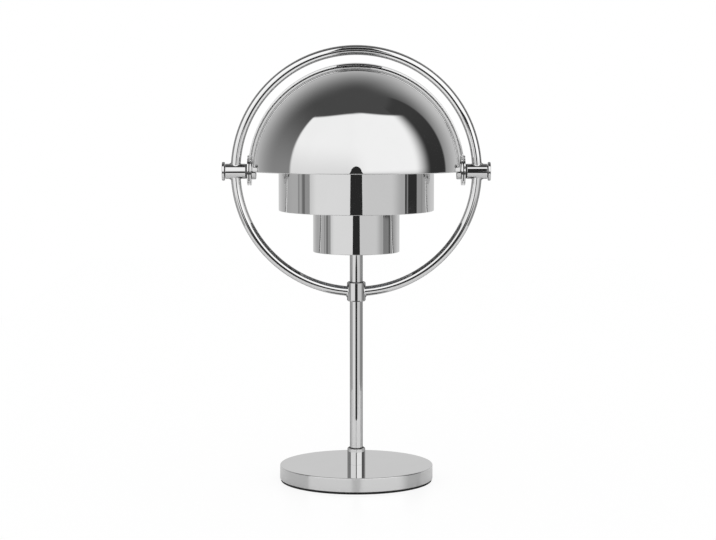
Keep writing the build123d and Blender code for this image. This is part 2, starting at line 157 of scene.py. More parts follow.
@dataclass(frozen=True)
class PatternedFinish(Finish):
    """Finish whose colour, roughness and relief follow patterns on the piece.

    Its two colours and two roughnesses belong to the low and high end of their pattern. A metal keeps the
    default IOR.
    """

    colours: tuple[str, str]
    roughness: tuple[float, float]
    rough_between: tuple[float, float] = (0.0, 1.0)
    low_angle: str = "#FFFFFF"
    metallic: float = 0.0
    ior: float | None = None
    relief_mm: float = 0.0
    relief_strength: float = 0.0

    def in_millimetres(self, tree: bpy.types.NodeTree) -> bpy.types.NodeSocket:
        """Measure places on the piece.

        Args:
            tree: Node tree of the material.

        Returns:
            The piece's own coordinates in millimetres.
        """
        place = add_node(tree, "ShaderNodeTexCoord")
        scaled = add_node(tree, "ShaderNodeMapping", inputs={
            "Vector": place.outputs["Object"], "Scale": (1 / MM,) * 3})
        return scaled.outputs["Vector"]

    def surface(
        self,
        tree: bpy.types.NodeTree,
        colour: bpy.types.NodeSocket,
        rough: bpy.types.NodeSocket,
        relief: bpy.types.NodeSocket | None = None,
        inside: dict[str | int, object] | None = None,
    ) -> None:
        """Let the patterns drive the surface, and end the material.

        Args:
            tree: Node tree of the material.
            colour: Pattern between the two colours.
            rough: Pattern between the two roughnesses.
            relief: Pattern that raises the surface, if any.
            inside: Settings for light that goes below the surface, if any.
        """
        tone = add_node(tree, "ShaderNodeMix", {"data_type": "RGBA"}, {
            SHARE: colour, COLOUR_A: linear(self.colours[0]), COLOUR_B: linear(self.colours[1])})
        gloss = add_node(tree, "ShaderNodeMapRange", inputs={
            "Value": rough, "From Min": self.rough_between[0], "From Max": self.rough_between[1],
            "To Min": self.roughness[0], "To Max": self.roughness[1]})
        inputs = {
            "Base Color": tone.outputs[MIXED_COLOUR], "Metallic": self.metallic,
            "Roughness": gloss.outputs["Result"], "Specular Tint": linear(self.low_angle), **(inside or {})}
        if self.ior is not None:
            inputs["IOR"] = self.ior
        if relief is not None:
            bump = add_node(tree, "ShaderNodeBump", inputs={
                "Height": relief, "Strength": self.relief_strength, "Distance": self.relief_mm * MM})
            inputs["Normal"] = bump.outputs["Normal"]
        self.end(tree, add_node(tree, "ShaderNodeBsdfPrincipled", inputs=inputs))


@dataclass(frozen=True)
class PolishedChrome(PatternedFinish):
    """Bright chrome plate over buffed steel."""

    name: str = "polished_chrome_plate"
    colours: tuple[str, str] = ("#E8E8E8", "#E2E2E2")
    roughness: tuple[float, float] = (0.015, 0.05)
    rough_between: tuple[float, float] = (0.40, 0.72)
    metallic: float = 1.0
    relief_mm: float = 0.004
    relief_strength: float = 1.0
    wipe_mm: float = 26.0
    wave_mm: float = 7.0

    def material(self) -> bpy.types.Material:
        """Build the plate.

        Returns:
            The material.
        """
        # A clear mirror, a little softer in wiped patches, over a sheet that buffing left faintly wavy.
        # On thin bars and tubes a dark low-angle tint paints shade as a dark line along their edges.
        material, tree = self.begin()
        place = self.in_millimetres(tree)
        wipe = add_node(tree, "ShaderNodeTexNoise", inputs={
            "Vector": place, "Scale": 1 / self.wipe_mm, "Detail": 4.0, "Roughness": 0.6, "Distortion": 0.6})
        wave = add_node(tree, "ShaderNodeTexNoise", inputs={
            "Vector": place, "Scale": 1 / self.wave_mm, "Detail": 1.0, "Roughness": 0.4})
        self.surface(tree, wipe.outputs["Fac"], wipe.outputs["Fac"], wave.outputs["Fac"])
        return material


@dataclass(frozen=True)
class SatinChrome(PatternedFinish):
    """Chrome plate over bead-blasted steel."""

    name: str = "satin_chrome_plate"
    colours: tuple[str, str] = ("#DADADA", "#E4E4E4")
    roughness: tuple[float, float] = (0.34, 0.44)
    metallic: float = 1.0
    relief_mm: float = 0.006
    relief_strength: float = 0.5
    blast_mm: float = 0.4

    def material(self) -> bpy.types.Material:
        """Build the plate.

        Returns:
            The material.
        """
        # Grey metal with a soft glow and no clear reflections, over the grain of the blasting. Beads leave
        # pits of about a tenth of a millimetre, which are drawn coarser here so that they show close up.
        material, tree = self.begin()
        grain = add_node(tree, "ShaderNodeTexNoise", inputs={
            "Vector": self.in_millimetres(tree), "Scale": 1 / self.blast_mm, "Detail": 2.0})
        self.surface(tree, grain.outputs["Fac"], grain.outputs["Fac"], grain.outputs["Fac"])
        return material


@dataclass(frozen=True)
class MouldedRubber(PatternedFinish):
    """Black rubber, moulded in a sand-blasted tool."""

    name: str = "moulded_black_rubber"
    colours: tuple[str, str] = ("#080808", "#141414")
    roughness: tuple[float, float] = (0.65, 0.9)
    ior: float | None = 1.52
    relief_mm: float = 0.04
    relief_strength: float = 0.6
    dust_mm: float = 9.0
    grain_mm: float = 0.5

    def material(self) -> bpy.types.Material:
        """Build the rubber.

        Returns:
            The material.
        """
        # Deep black and dull, with a fine pebbled skin and a little dust. The pebbles are drawn a little
        # coarser than a blasted tool leaves them, so that they show close up.
        material, tree = self.begin()
        place = self.in_millimetres(tree)
        dust = add_node(tree, "ShaderNodeTexNoise", inputs={
            "Vector": place, "Scale": 1 / self.dust_mm, "Detail": 5.0})
        grain = add_node(tree, "ShaderNodeTexVoronoi", inputs={"Vector": place, "Scale": 1 / self.grain_mm})
        self.surface(tree, dust.outputs["Fac"], dust.outputs["Fac"], grain.outputs["Distance"])
        return material


@dataclass(frozen=True)
class PowderCoat(PatternedFinish):
    """Satin black powder coat baked on steel sheet."""

    name: str = "satin_black_powder_coat"
    colours: tuple[str, str] = ("#1A1A1B", "#262628")
    roughness: tuple[float, float] = (0.38, 0.55)
    ior: float | None = 1.5
    relief_mm: float = 0.03
    relief_strength: float = 0.7
    grain_mm: float = 0.8

    def material(self) -> bpy.types.Material:
        """Build the coat.

        Returns:
            The material.
        """
        # Black with a soft sheen over a fine orange peel.
        material, tree = self.begin()
        grain = add_node(tree, "ShaderNodeTexNoise", inputs={
            "Vector": self.in_millimetres(tree), "Scale": 1 / self.grain_mm, "Detail": 3.0})
        self.surface(tree, grain.outputs["Fac"], grain.outputs["Fac"], grain.outputs["Fac"])
        return material


@dataclass(frozen=True)
class ZincPlate(PatternedFinish):
    """Bright zinc on rolled steel, as on stock nuts, screws and brackets."""

    name: str = "bright_zinc_plate"
    colours: tuple[str, str] = ("#B9BBBE", "#9C9FA3")
    roughness: tuple[float, float] = (0.22, 0.42)
    metallic: float = 1.0
    relief_mm: float = 0.01
    relief_strength: float = 0.4
    spangle_mm: float = 1.6
    line_mm: float = 0.35
    line_length_mm: float = 25.0

    def material(self) -> bpy.types.Material:
        """Build the plate.

        Returns:
            The material.
        """
        # Pale blue-grey metal with soft spangles and long rolling lines, which are drawn coarser than real
        # ones so that they show close up.
        material, tree = self.begin()
        place = self.in_millimetres(tree)
        spangle = add_node(tree, "ShaderNodeTexVoronoi", inputs={
            "Vector": place, "Scale": 1 / self.spangle_mm})
        lines = add_node(tree, "ShaderNodeMapping", inputs={
            "Vector": place, "Scale": (1 / self.line_mm, 1 / self.line_length_mm, 1 / self.line_mm)})
        rolled = add_node(tree, "ShaderNodeTexNoise", inputs={
            "Vector": lines.outputs["Vector"], "Scale": 1.0})
        self.surface(tree, spangle.outputs["Color"], rolled.outputs["Fac"], rolled.outputs["Fac"])
        return material


@dataclass(frozen=True)
class BlackOxide(PatternedFinish):
    """Oil-blackened steel of a hardened set screw."""

    name: str = "black_oxide_steel"
    colours: tuple[str, str] = ("#2A2A2C", "#55565A")
    roughness: tuple[float, float] = (0.5, 0.3)
    metallic: float = 1.0
    rub_mm: float = 0.7
    rubbed_between: tuple[float, float] = (0.5, 0.75)

    def material(self) -> bpy.types.Material:
        """Build the oxide.

        Returns:
            The material.
        """
        # Dark grey metal, rubbed bright in small spots.
        material, tree = self.begin()
        rub = add_node(tree, "ShaderNodeTexNoise", inputs={
            "Vector": self.in_millimetres(tree), "Scale": 1 / self.rub_mm, "Detail": 4.0})
        worn = add_node(tree, "ShaderNodeMapRange", inputs={
            "Value": rub.outputs["Fac"],
            "From Min": self.rubbed_between[0], "From Max": self.rubbed_between[1]})
        self.surface(tree, worn.outputs["Result"], rub.outputs["Fac"])
        return material


@dataclass(frozen=True)
class MouldedNylon(PatternedFinish):
    """Black glass-filled nylon, injection moulded."""

    name: str = "moulded_black_nylon"
    colours: tuple[str, str] = ("#141414", "#232323")
    roughness: tuple[float, float] = (0.4, 0.6)
    ior: float | None = 1.53
    fibre_mm: float = 0.25

    def material(self) -> bpy.types.Material:
        """Build the nylon.

        Returns:
            The material.
        """
        # Dull black with short paler fibres in its skin, drawn thicker than real so that they show close up.
        material, tree = self.begin()
        fibre = add_node(tree, "ShaderNodeTexNoise", inputs={
            "Vector": self.in_millimetres(tree), "Scale": 1 / self.fibre_mm, "Detail": 2.0,
            "Distortion": 2.0})
        self.surface(tree, fibre.outputs["Fac"], fibre.outputs["Fac"])
        return material


@dataclass(frozen=True)
class PvcSheath(PatternedFinish):
    """Extruded PVC round a thin lead."""

    name: str = "extruded_pvc_sheath"
    colours: tuple[str, str] = ("#202022", "#303033")
    roughness: tuple[float, float] = (0.35, 0.55)
    ior: float | None = 1.53
    scuff_mm: float = 2.5

    def material(self) -> bpy.types.Material:
        """Build the sheath.

        Returns:
            The material.
        """
        # Dark grey with a low gloss and paler scuffs.
        material, tree = self.begin()
        scuff = add_node(tree, "ShaderNodeTexNoise", inputs={
            "Vector": self.in_millimetres(tree), "Scale": 1 / self.scuff_mm, "Detail": 4.0})
        self.surface(tree, scuff.outputs["Fac"], scuff.outputs["Fac"])
        return material


@dataclass(frozen=True)
class TurnedAluminium(PatternedFinish):
    """Aluminium bar, faced and turned on a lathe."""

    name: str = "turned_aluminium"
    colours: tuple[str, str] = ("#C2C3C5", "#D6D7D8")
    roughness: tuple[float, float] = (0.34, 0.24)
    metallic: float = 1.0
    relief_mm: float = 0.01
    relief_strength: float = 0.4
    feed_mm: float = 0.5

    def material(self) -> bpy.types.Material:
        """Build the bar.

        Returns:
            The material.
        """
        # Pale metal with the tool's rings. A lathe's feed is about a tenth of a millimetre, and the rings
        # are drawn wider so that they show close up.
        material, tree = self.begin()
        rings = add_node(tree, "ShaderNodeTexWave", {"wave_type": "RINGS", "rings_direction": "Z"}, {
            "Vector": self.in_millimetres(tree), "Scale": 2 * math.pi / (self.feed_mm * WAVE_RADIANS),
            "Distortion": 0.4})
        self.surface(tree, rings.outputs["Fac"], rings.outputs["Fac"], rings.outputs["Fac"])
        return material


@dataclass(frozen=True)
class SolderMask(PatternedFinish):
    """Printed circuit board under a lacquer of solder mask."""

    name: str = "green_solder_mask"
    colours: tuple[str, str] = ("#0F5A32", "#1B7444")
    roughness: tuple[float, float] = (0.3, 0.22)
    ior: float | None = 1.55
    relief_mm: float = 0.03
    relief_strength: float = 0.4
    track_mm: float = 1.2

    def material(self) -> bpy.types.Material:
        """Build the board.

        Returns:
            The material.
        """
        # Glossy lacquer, paler where it runs over copper tracks.
        material, tree = self.begin()
        tracks = add_node(tree, "ShaderNodeTexBrick", inputs={
            "Vector": self.in_millimetres(tree), "Scale": BRICK_ROW / self.track_mm, "Mortar Size": 0.02,
            "Color1": (0, 0, 0, 1), "Color2": (0.2, 0.2, 0.2, 1), "Mortar": (1, 1, 1, 1)})
        self.surface(tree, tracks.outputs["Color"], tracks.outputs["Fac"], tracks.outputs["Fac"])
        return material


@dataclass(frozen=True)
class PhosphorResin(PatternedFinish):
    """Yellow phosphor in cast silicone over a chip."""

    name: str = "cast_phosphor_resin"
    colours: tuple[str, str] = ("#E6C24A", "#F2DB84")
    roughness: tuple[float, float] = (0.2, 0.35)
    ior: float | None = 1.41
    grain_mm: float = 0.3

    def material(self) -> bpy.types.Material:
        """Build the resin.

        Returns:
            The material.
        """
        # Soft yellow, cloudy with phosphor grains, drawn coarser than real ones so that they show close up.
        material, tree = self.begin()
        grain = add_node(tree, "ShaderNodeTexNoise", inputs={
            "Vector": self.in_millimetres(tree), "Scale": 1 / self.grain_mm, "Detail": 3.0})
        self.surface(tree, grain.outputs["Fac"], grain.outputs["Fac"])
        return material


@dataclass(frozen=True)
class PouchFoil(PatternedFinish):
    """Laminated aluminium foil of a pouch cell."""

    name: str = "laminated_pouch_foil"
    colours: tuple[str, str] = ("#AEB3B9", "#C9CDD2")
    roughness: tuple[float, float] = (0.3, 0.45)
    metallic: float = 0.9
    relief_mm: float = 0.2
    relief_strength: float = 0.5
    crease_mm: float = 3.0

    def material(self) -> bpy.types.Material:
        """Build the foil.

        Returns:
            The material.
        """
        # Satin silver with shallow creases, under a thin film that takes a little of the metal's shine.
        material, tree = self.begin()
        crease = add_node(tree, "ShaderNodeTexNoise", inputs={
            "Vector": self.in_millimetres(tree), "Scale": 1 / self.crease_mm, "Detail": 3.0,
            "Distortion": 1.5})
        self.surface(tree, crease.outputs["Fac"], crease.outputs["Fac"], crease.outputs["Fac"])
        return material


@dataclass(frozen=True)
class OpalAcrylic(PatternedFinish):
    """Opal acrylic, blown and satin etched."""

    name: str = "satin_opal_acrylic"
    colours: tuple[str, str] = ("#F4F2EC", "#EAE7DF")
    roughness: tuple[float, float] = (0.35, 0.5)
    ior: float | None = 1.49
    relief_mm: float = 0.01
    relief_strength: float = 0.3
    cloud_mm: float = 8.0
    etch_mm: float = 0.4
    carried: float = 0.5
    carried_mm: float = 3.0
    carried_colours: tuple[float, float, float] = (1.0, 0.95, 0.9)

    def material(self) -> bpy.types.Material:
        """Build the acrylic.

        Returns:
            The material.
        """
        # Milky and soft, with light carried inside it. The etching is drawn coarser than real so that it
        # shows close up.
        material, tree = self.begin()
        place = self.in_millimetres(tree)
        cloud = add_node(tree, "ShaderNodeTexNoise", inputs={
            "Vector": place, "Scale": 1 / self.cloud_mm, "Detail": 3.0})
        etch = add_node(tree, "ShaderNodeTexNoise", inputs={
            "Vector": place, "Scale": 1 / self.etch_mm, "Detail": 2.0})
        self.surface(tree, cloud.outputs["Fac"], etch.outputs["Fac"], etch.outputs["Fac"], {
            "Subsurface Weight": self.carried, "Subsurface Radius": self.carried_colours,
            "Subsurface Scale": self.carried_mm * MM})
        return material


@dataclass(frozen=True)
class PaperSheet(Finish):
    """Calendered white paper, rolled out under the lamp."""

    name: str = "pale_paper_sheet"
    paper: str = "#D9D9D9"
    white: str = "#FFFFFF"
    roughness: float = 0.28
    ior: float = 1.45
    glow: float = 1.09
    glow_share: float = 0.78

    def material(self) -> bpy.types.Material:
        """Build the paper.

        Returns:
            The material.
        """
        # White to the camera but for the lamp's own faint shadow, and plain pale paper to everything else.
        material, tree = self.begin()
        path = add_node(tree, "ShaderNodeLightPath")
        paper = add_node(tree, "ShaderNodeBsdfPrincipled", inputs={
            "Base Color": linear(self.paper), "Roughness": self.roughness, "IOR": self.ior})
        white = add_node(tree, "ShaderNodeEmission", inputs={
            "Color": linear(self.white), "Strength": self.glow})
        share = add_node(tree, "ShaderNodeMath", {"operation": "MULTIPLY"}, {
            0: path.outputs["Is Camera Ray"], 1: self.glow_share})
        lit = add_node(tree, "ShaderNodeMixShader", inputs={
            0: share.outputs["Value"], 1: paper.outputs["BSDF"], 2: white.outputs["Emission"]})
        self.end(tree, lit)
        return material


@dataclass(frozen=True)
class ReflectionOnlyCard(Finish):
    """Dark sheet seen only in reflections, and only from a range of distances in millimetres."""

    felt: str
    seen_from: tuple[float, float]

    def material(self) -> bpy.types.Material:
        """Build the felt.

        Returns:
            The material.
        """
        # An even dark grey in reflections only, and nothing at all from too near or too far; on the near
        # cards this paints dark reflections.
        material, tree = self.begin()
        near, far = (distance * MM for distance in self.seen_from)
        path = add_node(tree, "ShaderNodeLightPath")
        within = add_node(tree, "ShaderNodeMath", {"operation": "COMPARE"}, {
            0: path.outputs["Ray Length"], 1: (near + far) / 2, 2: (far - near) / 2})
        clear = add_node(tree, "ShaderNodeBsdfTransparent")
        felt = add_node(tree, "ShaderNodeEmission", inputs={"Color": linear(self.felt), "Strength": 1.0})
        seen = add_node(tree, "ShaderNodeMixShader", inputs={
            0: within.outputs["Value"], 1: clear.outputs["BSDF"], 2: felt.outputs["Emission"]})
        self.end(tree, seen)
        return material


# Shapes


@dataclass(frozen=True)
class Corner:
    """Corner of an outline: its distance from the axis, its height along it, and how it is rounded.

    A corner with a normal is a point on a smooth curve, and its faces take that normal.
    """

    out: float
    up: float
    round: float = 0.0
    normal: Point | None = None


@dataclass(frozen=True)
class Outline:
    """Closed outline of a turned piece, run so that its outer side goes up.

    A point counts as on it within the slack, and a normal as that of a face where their cosine beats the
    agreement.
    """

    corners: tuple[Corner, ...]
    arc_steps: int = 6
    slack: float = 0.01
    agreement: float = 0.7

    def corner_arc(self, index: int) -> list[Spot]:
        """Round one corner.

        Args:
            index: Which corner.

        Returns:
            Points and normals along the rounding, or the corner alone where it is sharp.
        """
        here = self.corners[index]
        at = Vector((here.out, here.up))
        if here.round <= 0:
            return [(at, Vector((0, 0)))]
        back = self.corners[index - 1]
        ahead = self.corners[(index + 1) % len(self.corners)]
        towards_back = (Vector((back.out, back.up)) - at).normalized()
        towards_ahead = (Vector((ahead.out, ahead.up)) - at).normalized()
        half = math.acos(max(-1.0, min(1.0, towards_back.dot(towards_ahead)))) / 2
        reach = here.round / math.tan(half)
        middle = at + (towards_back + towards_ahead).normalized() * (here.round / math.sin(half))
        start = at + towards_back * reach - middle
        turns_in = towards_back.x * towards_ahead.y - towards_back.y * towards_ahead.x > 0
        sign = -1 if turns_in else 1
        spots = []
        for step in range(self.arc_steps + 1):
            angle = (math.pi - 2 * half) * step / self.arc_steps
            point = middle + Matrix.Rotation(sign * angle, 2) @ start
            spots.append((point, (point - middle).normalized() * sign))
        spots[-1] = (at + towards_ahead * reach, spots[-1][1])
        return spots

    @cached_property
    def edges(self) -> list[tuple[Spot, Spot]]:
        """Walk round the outline.

        Returns:
            Straight pieces in order, each as its two ends with the normal there.
        """
        arcs = [self.corner_arc(i) for i in range(len(self.corners))]
        found: list[tuple[Spot, Spot]] = []
        for i, arc in enumerate(arcs):
            found.extend(zip(arc, arc[1:]))
            j = (i + 1) % len(arcs)
            start, end = arc[-1][0], arcs[j][0][0]
            along = end - start
            side = Vector((along.y, -along.x)).normalized()
            first = Vector(self.corners[i].normal) if self.corners[i].normal else side
            last = Vector(self.corners[j].normal) if self.corners[j].normal else side
            found.append(((start, first), (end, last)))
        return found

    def normal_near(self, point: Vector, facing: Vector) -> Vector | None:
        """Find the outline's normal at a point on it.

        Args:
            point: Place on the outline, as distance from the axis and height.
            facing: Rough direction of the face there.

        Returns:
            The normal that agrees best with facing, or None where the point is off the outline.
        """
        best, best_share = None, self.agreement
        for (start, first), (end, last) in self.edges:
            along = end - start
            share = max(0.0, min(1.0, (point - start).dot(along) / max(along.length_squared, TINY**2)))
            if (start + along * share - point).length > self.slack:
                continue
            normal = first.lerp(last, share).normalized()
            if normal.dot(facing) > best_share:
                best, best_share = normal, normal.dot(facing)
        return best


@dataclass
class Skin:
    """Faces of a piece, with the true surface's normal at each of their corners."""

    points: list[Vector] = field(default_factory=list)
    faces: list[tuple[int, ...]] = field(default_factory=list)
    normals: list[tuple[Vector, ...]] = field(default_factory=list)

    def point(self, place: Vector) -> int:
        """Add a point, in millimetres, and give its number."""
        self.points.append(place)
        return len(self.points) - 1

    def face(self, corners: Sequence[int], normals: Sequence[Vector]) -> None:
        """Add a face, leaving out a corner that repeats.

        Args:
            corners: Numbers of its points.
            normals: The true surface's normal at each of them.
        """
        kept = [k for k in range(len(corners)) if corners[k] != corners[k - 1]]
        if len(kept) > 2:
            self.faces.append(tuple(corners[k] for k in kept))
            self.normals.append(tuple(normals[k] for k in kept))

    def mesh(self, name: str) -> bpy.types.Mesh:
        """Make the Blender mesh, in metres.

        Args:
            name: Name of the mesh.

        Returns:
            The mesh, smooth, with the true normals.
        """
        mesh = bpy.data.meshes.new(name)
        mesh.from_pydata([p * MM for p in self.points], [], self.faces)
        mesh.shade_smooth()
        mesh.normals_split_custom_set([n for group in self.normals for n in group])
        return mesh


def along_axis(direction: Sequence[float], origin: Sequence[float] = (0, 0, 0)) -> Matrix:
    """Place a turned piece.

    Args:
        direction: Which way its axis points.
        origin: Where its height starts, in millimetres.

    Returns:
        Matrix that takes the piece from the upright axis to that place.
    """
    turn = Vector(direction).to_track_quat("Z", "Y").to_matrix().to_4x4()
    return Matrix.Translation(Vector(origin)) @ turn


UPRIGHT = Matrix.Identity(4)


def turned(outline: Outline, steps: int, place: Matrix = UPRIGHT, skin: Skin | None = None) -> Skin:
    """Turn an outline round its axis.

    Args:
        outline: Closed outline.
        steps: Number of faces round the axis.
        place: Where the axis goes.
        skin: Faces to add to, or None for a new piece.

    Returns:
        The piece's faces.
    """
    skin = skin or Skin()
    edges = outline.edges
    spin = circle(1.0, steps)
    rotate = place.to_3x3()
    rows: list[list[int]] = []
    for (start, _), _ in edges:
        if start.x < TINY:
            rows.append([skin.point(place @ Vector((0, 0, start.y)))] * steps)
        else:
            rows.append([skin.point(place @ Vector((start.x * c, start.x * s, start.y))) for c, s in spin])
    for i, ((start, first), (end, last)) in enumerate(edges):
        if start.x < TINY and end.x < TINY:
            continue
        low, high = rows[i], rows[(i + 1) % len(rows)]
        below = [rotate @ Vector((first.x * c, first.x * s, first.y)) for c, s in spin]
        above = [rotate @ Vector((last.x * c, last.x * s, last.y)) for c, s in spin]
        for k in range(steps):
            n = (k + 1) % steps
            skin.face((low[k], low[n], high[n], high[k]), (below[k], below[n], above[n], above[k]))
    return skin


def circle(radius: float, steps: int) -> list[Point]:
    """Points of a circle, anticlockwise."""
    turns = [2 * math.pi * k / steps for k in range(steps)]
    return [(radius * math.cos(turn), radius * math.sin(turn)) for turn in turns]


def prism(outline: Sequence[Point], depth: float, place: Matrix) -> Skin:
    """Raise a flat closed outline.

    Args:
        outline: Points of the outline, run anticlockwise.
        depth: How far it is raised.
        place: Where the outline's plane goes.

    Returns:
        The piece's faces, flat.
    """
    skin = Skin()
    low = [skin.point(place @ Vector((x, y, 0))) for x, y in outline]
    high = [skin.point(place @ Vector((x, y, depth))) for x, y in outline]
    nothing = Vector((0, 0, 0))
    skin.face(low[::-1], [nothing] * len(low))
    skin.face(high, [nothing] * len(high))
    for k in range(len(outline)):
        n = (k + 1) % len(outline)
        skin.face((low[k], low[n], high[n], high[k]), [nothing] * 4)
    return skin


def cut_holes(mesh: bpy.types.Mesh, outline: Outline, holes: Sequence[Skin]) -> bpy.types.Mesh:
    """Cut holes through an upright turned piece and keep its true normals.

    Args:
        mesh: Mesh of the piece.
        outline: Outline that it was turned from.
        holes: Solids to take away.

    Returns:
        The cut mesh.
    """
    work = bpy.data.objects.new("work", mesh)
    bpy.context.scene.collection.objects.link(work)
    tools = []
    for number, hole in enumerate(holes):
        tool = bpy.data.objects.new(f"tool_{number}", hole.mesh(f"tool_{number}"))
        bpy.context.scene.collection.objects.link(tool)
        tools.append(tool)
        cut = work.modifiers.new(tool.name, "BOOLEAN")
        cut.operation, cut.solver, cut.object = "DIFFERENCE", "EXACT", tool
    graph = bpy.context.evaluated_depsgraph_get()
    result = bpy.data.meshes.new_from_object(work.evaluated_get(graph))
    result.name = mesh.name + "_cut"
    for obj in (work, *tools):
        bpy.data.objects.remove(obj)
    normals = []
    for face in result.polygons:
        for corner in face.vertices:
            place = result.vertices[corner].co / MM
            flat = Vector((place.x, place.y)).length
            out = Vector((place.x, place.y)) / max(flat, TINY)
            facing = Vector((face.normal.x * out.x + face.normal.y * out.y, face.normal.z))
            true = outline.normal_near(Vector((flat, place.z)), facing)
            if true is None:
                normals.append(face.normal.copy())
            else:
                normals.append(Vector((true.x * out.x, true.x * out.y, true.y)))
    result.shade_smooth()
    result.normals_split_custom_set(normals)
    return result


# Putting pieces in place


@dataclass
class Workshop:
    """Holds the finishes and puts each piece in its place."""

    chrome: bpy.types.Material = field(default_factory=PolishedChrome().material)
    # Paler colours on the bars paint brighter highlights, and a dark low-angle tint on bars and tubes paints
    # shade along their edges.
    bar_chrome_painted_light: bpy.types.Material = field(default_factory=PolishedChrome(
        name="polished_chrome_bar_painted_light", colours=("#F4F4F4", "#EEEEEE"), low_angle="#303030").material)
    tube_chrome_painted_edge_shade: bpy.types.Material = field(default_factory=PolishedChrome(
        name="polished_chrome_tube_painted_edge_shade", low_angle="#303030").material)
    satin: bpy.types.Material = field(default_factory=SatinChrome().material)
    rubber: bpy.types.Material = field(default_factory=MouldedRubber().material)
    powder: bpy.types.Material = field(default_factory=PowderCoat().material)
    zinc: bpy.types.Material = field(default_factory=ZincPlate().material)
    oxide: bpy.types.Material = field(default_factory=BlackOxide().material)
    nylon: bpy.types.Material = field(default_factory=MouldedNylon().material)
    sheath: bpy.types.Material = field(default_factory=PvcSheath().material)
    aluminium: bpy.types.Material = field(default_factory=TurnedAluminium().material)
    green_board: bpy.types.Material = field(default_factory=SolderMask().material)
    white_board: bpy.types.Material = field(default_factory=SolderMask(
        name="white_solder_mask", colours=("#E9E8E3", "#F4F3EF")).material)
    phosphor: bpy.types.Material = field(default_factory=PhosphorResin().material)
    foil: bpy.types.Material = field(default_factory=PouchFoil().material)
    opal: bpy.types.Material = field(default_factory=OpalAcrylic().material)

    def put(
        self, name: str, mesh: bpy.types.Mesh, finish: bpy.types.Material, body: Body, node: str
    ) -> bpy.types.Object:
        """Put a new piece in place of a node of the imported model.

        Args:
            name: Name of the piece.
            mesh: Its mesh, in the lamp's frame.
            finish: Its material.
            body: Body that it rides on.
            node: Node that it stands for.

        Returns:
            The new object.
        """
        mesh.materials.clear()
        mesh.materials.append(finish)
        piece = bpy.data.objects.new(name, mesh)
        bpy.context.scene.collection.objects.link(piece)
        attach(piece, body.value)
        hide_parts(node)
        LOG.info("%s: %d faces, %s", name, len(mesh.polygons), finish.name)
        return piece

    def dress(self, node: str, finish: bpy.types.Material) -> None:
        """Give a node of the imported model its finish.

        Args:
            node: Name of the node.
            finish: Its material.
        """
        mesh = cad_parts[node].data
        mesh.materials.clear()
        mesh.materials.append(finish)
        LOG.info("%s: as packed, %s", node, finish.name)


# Base


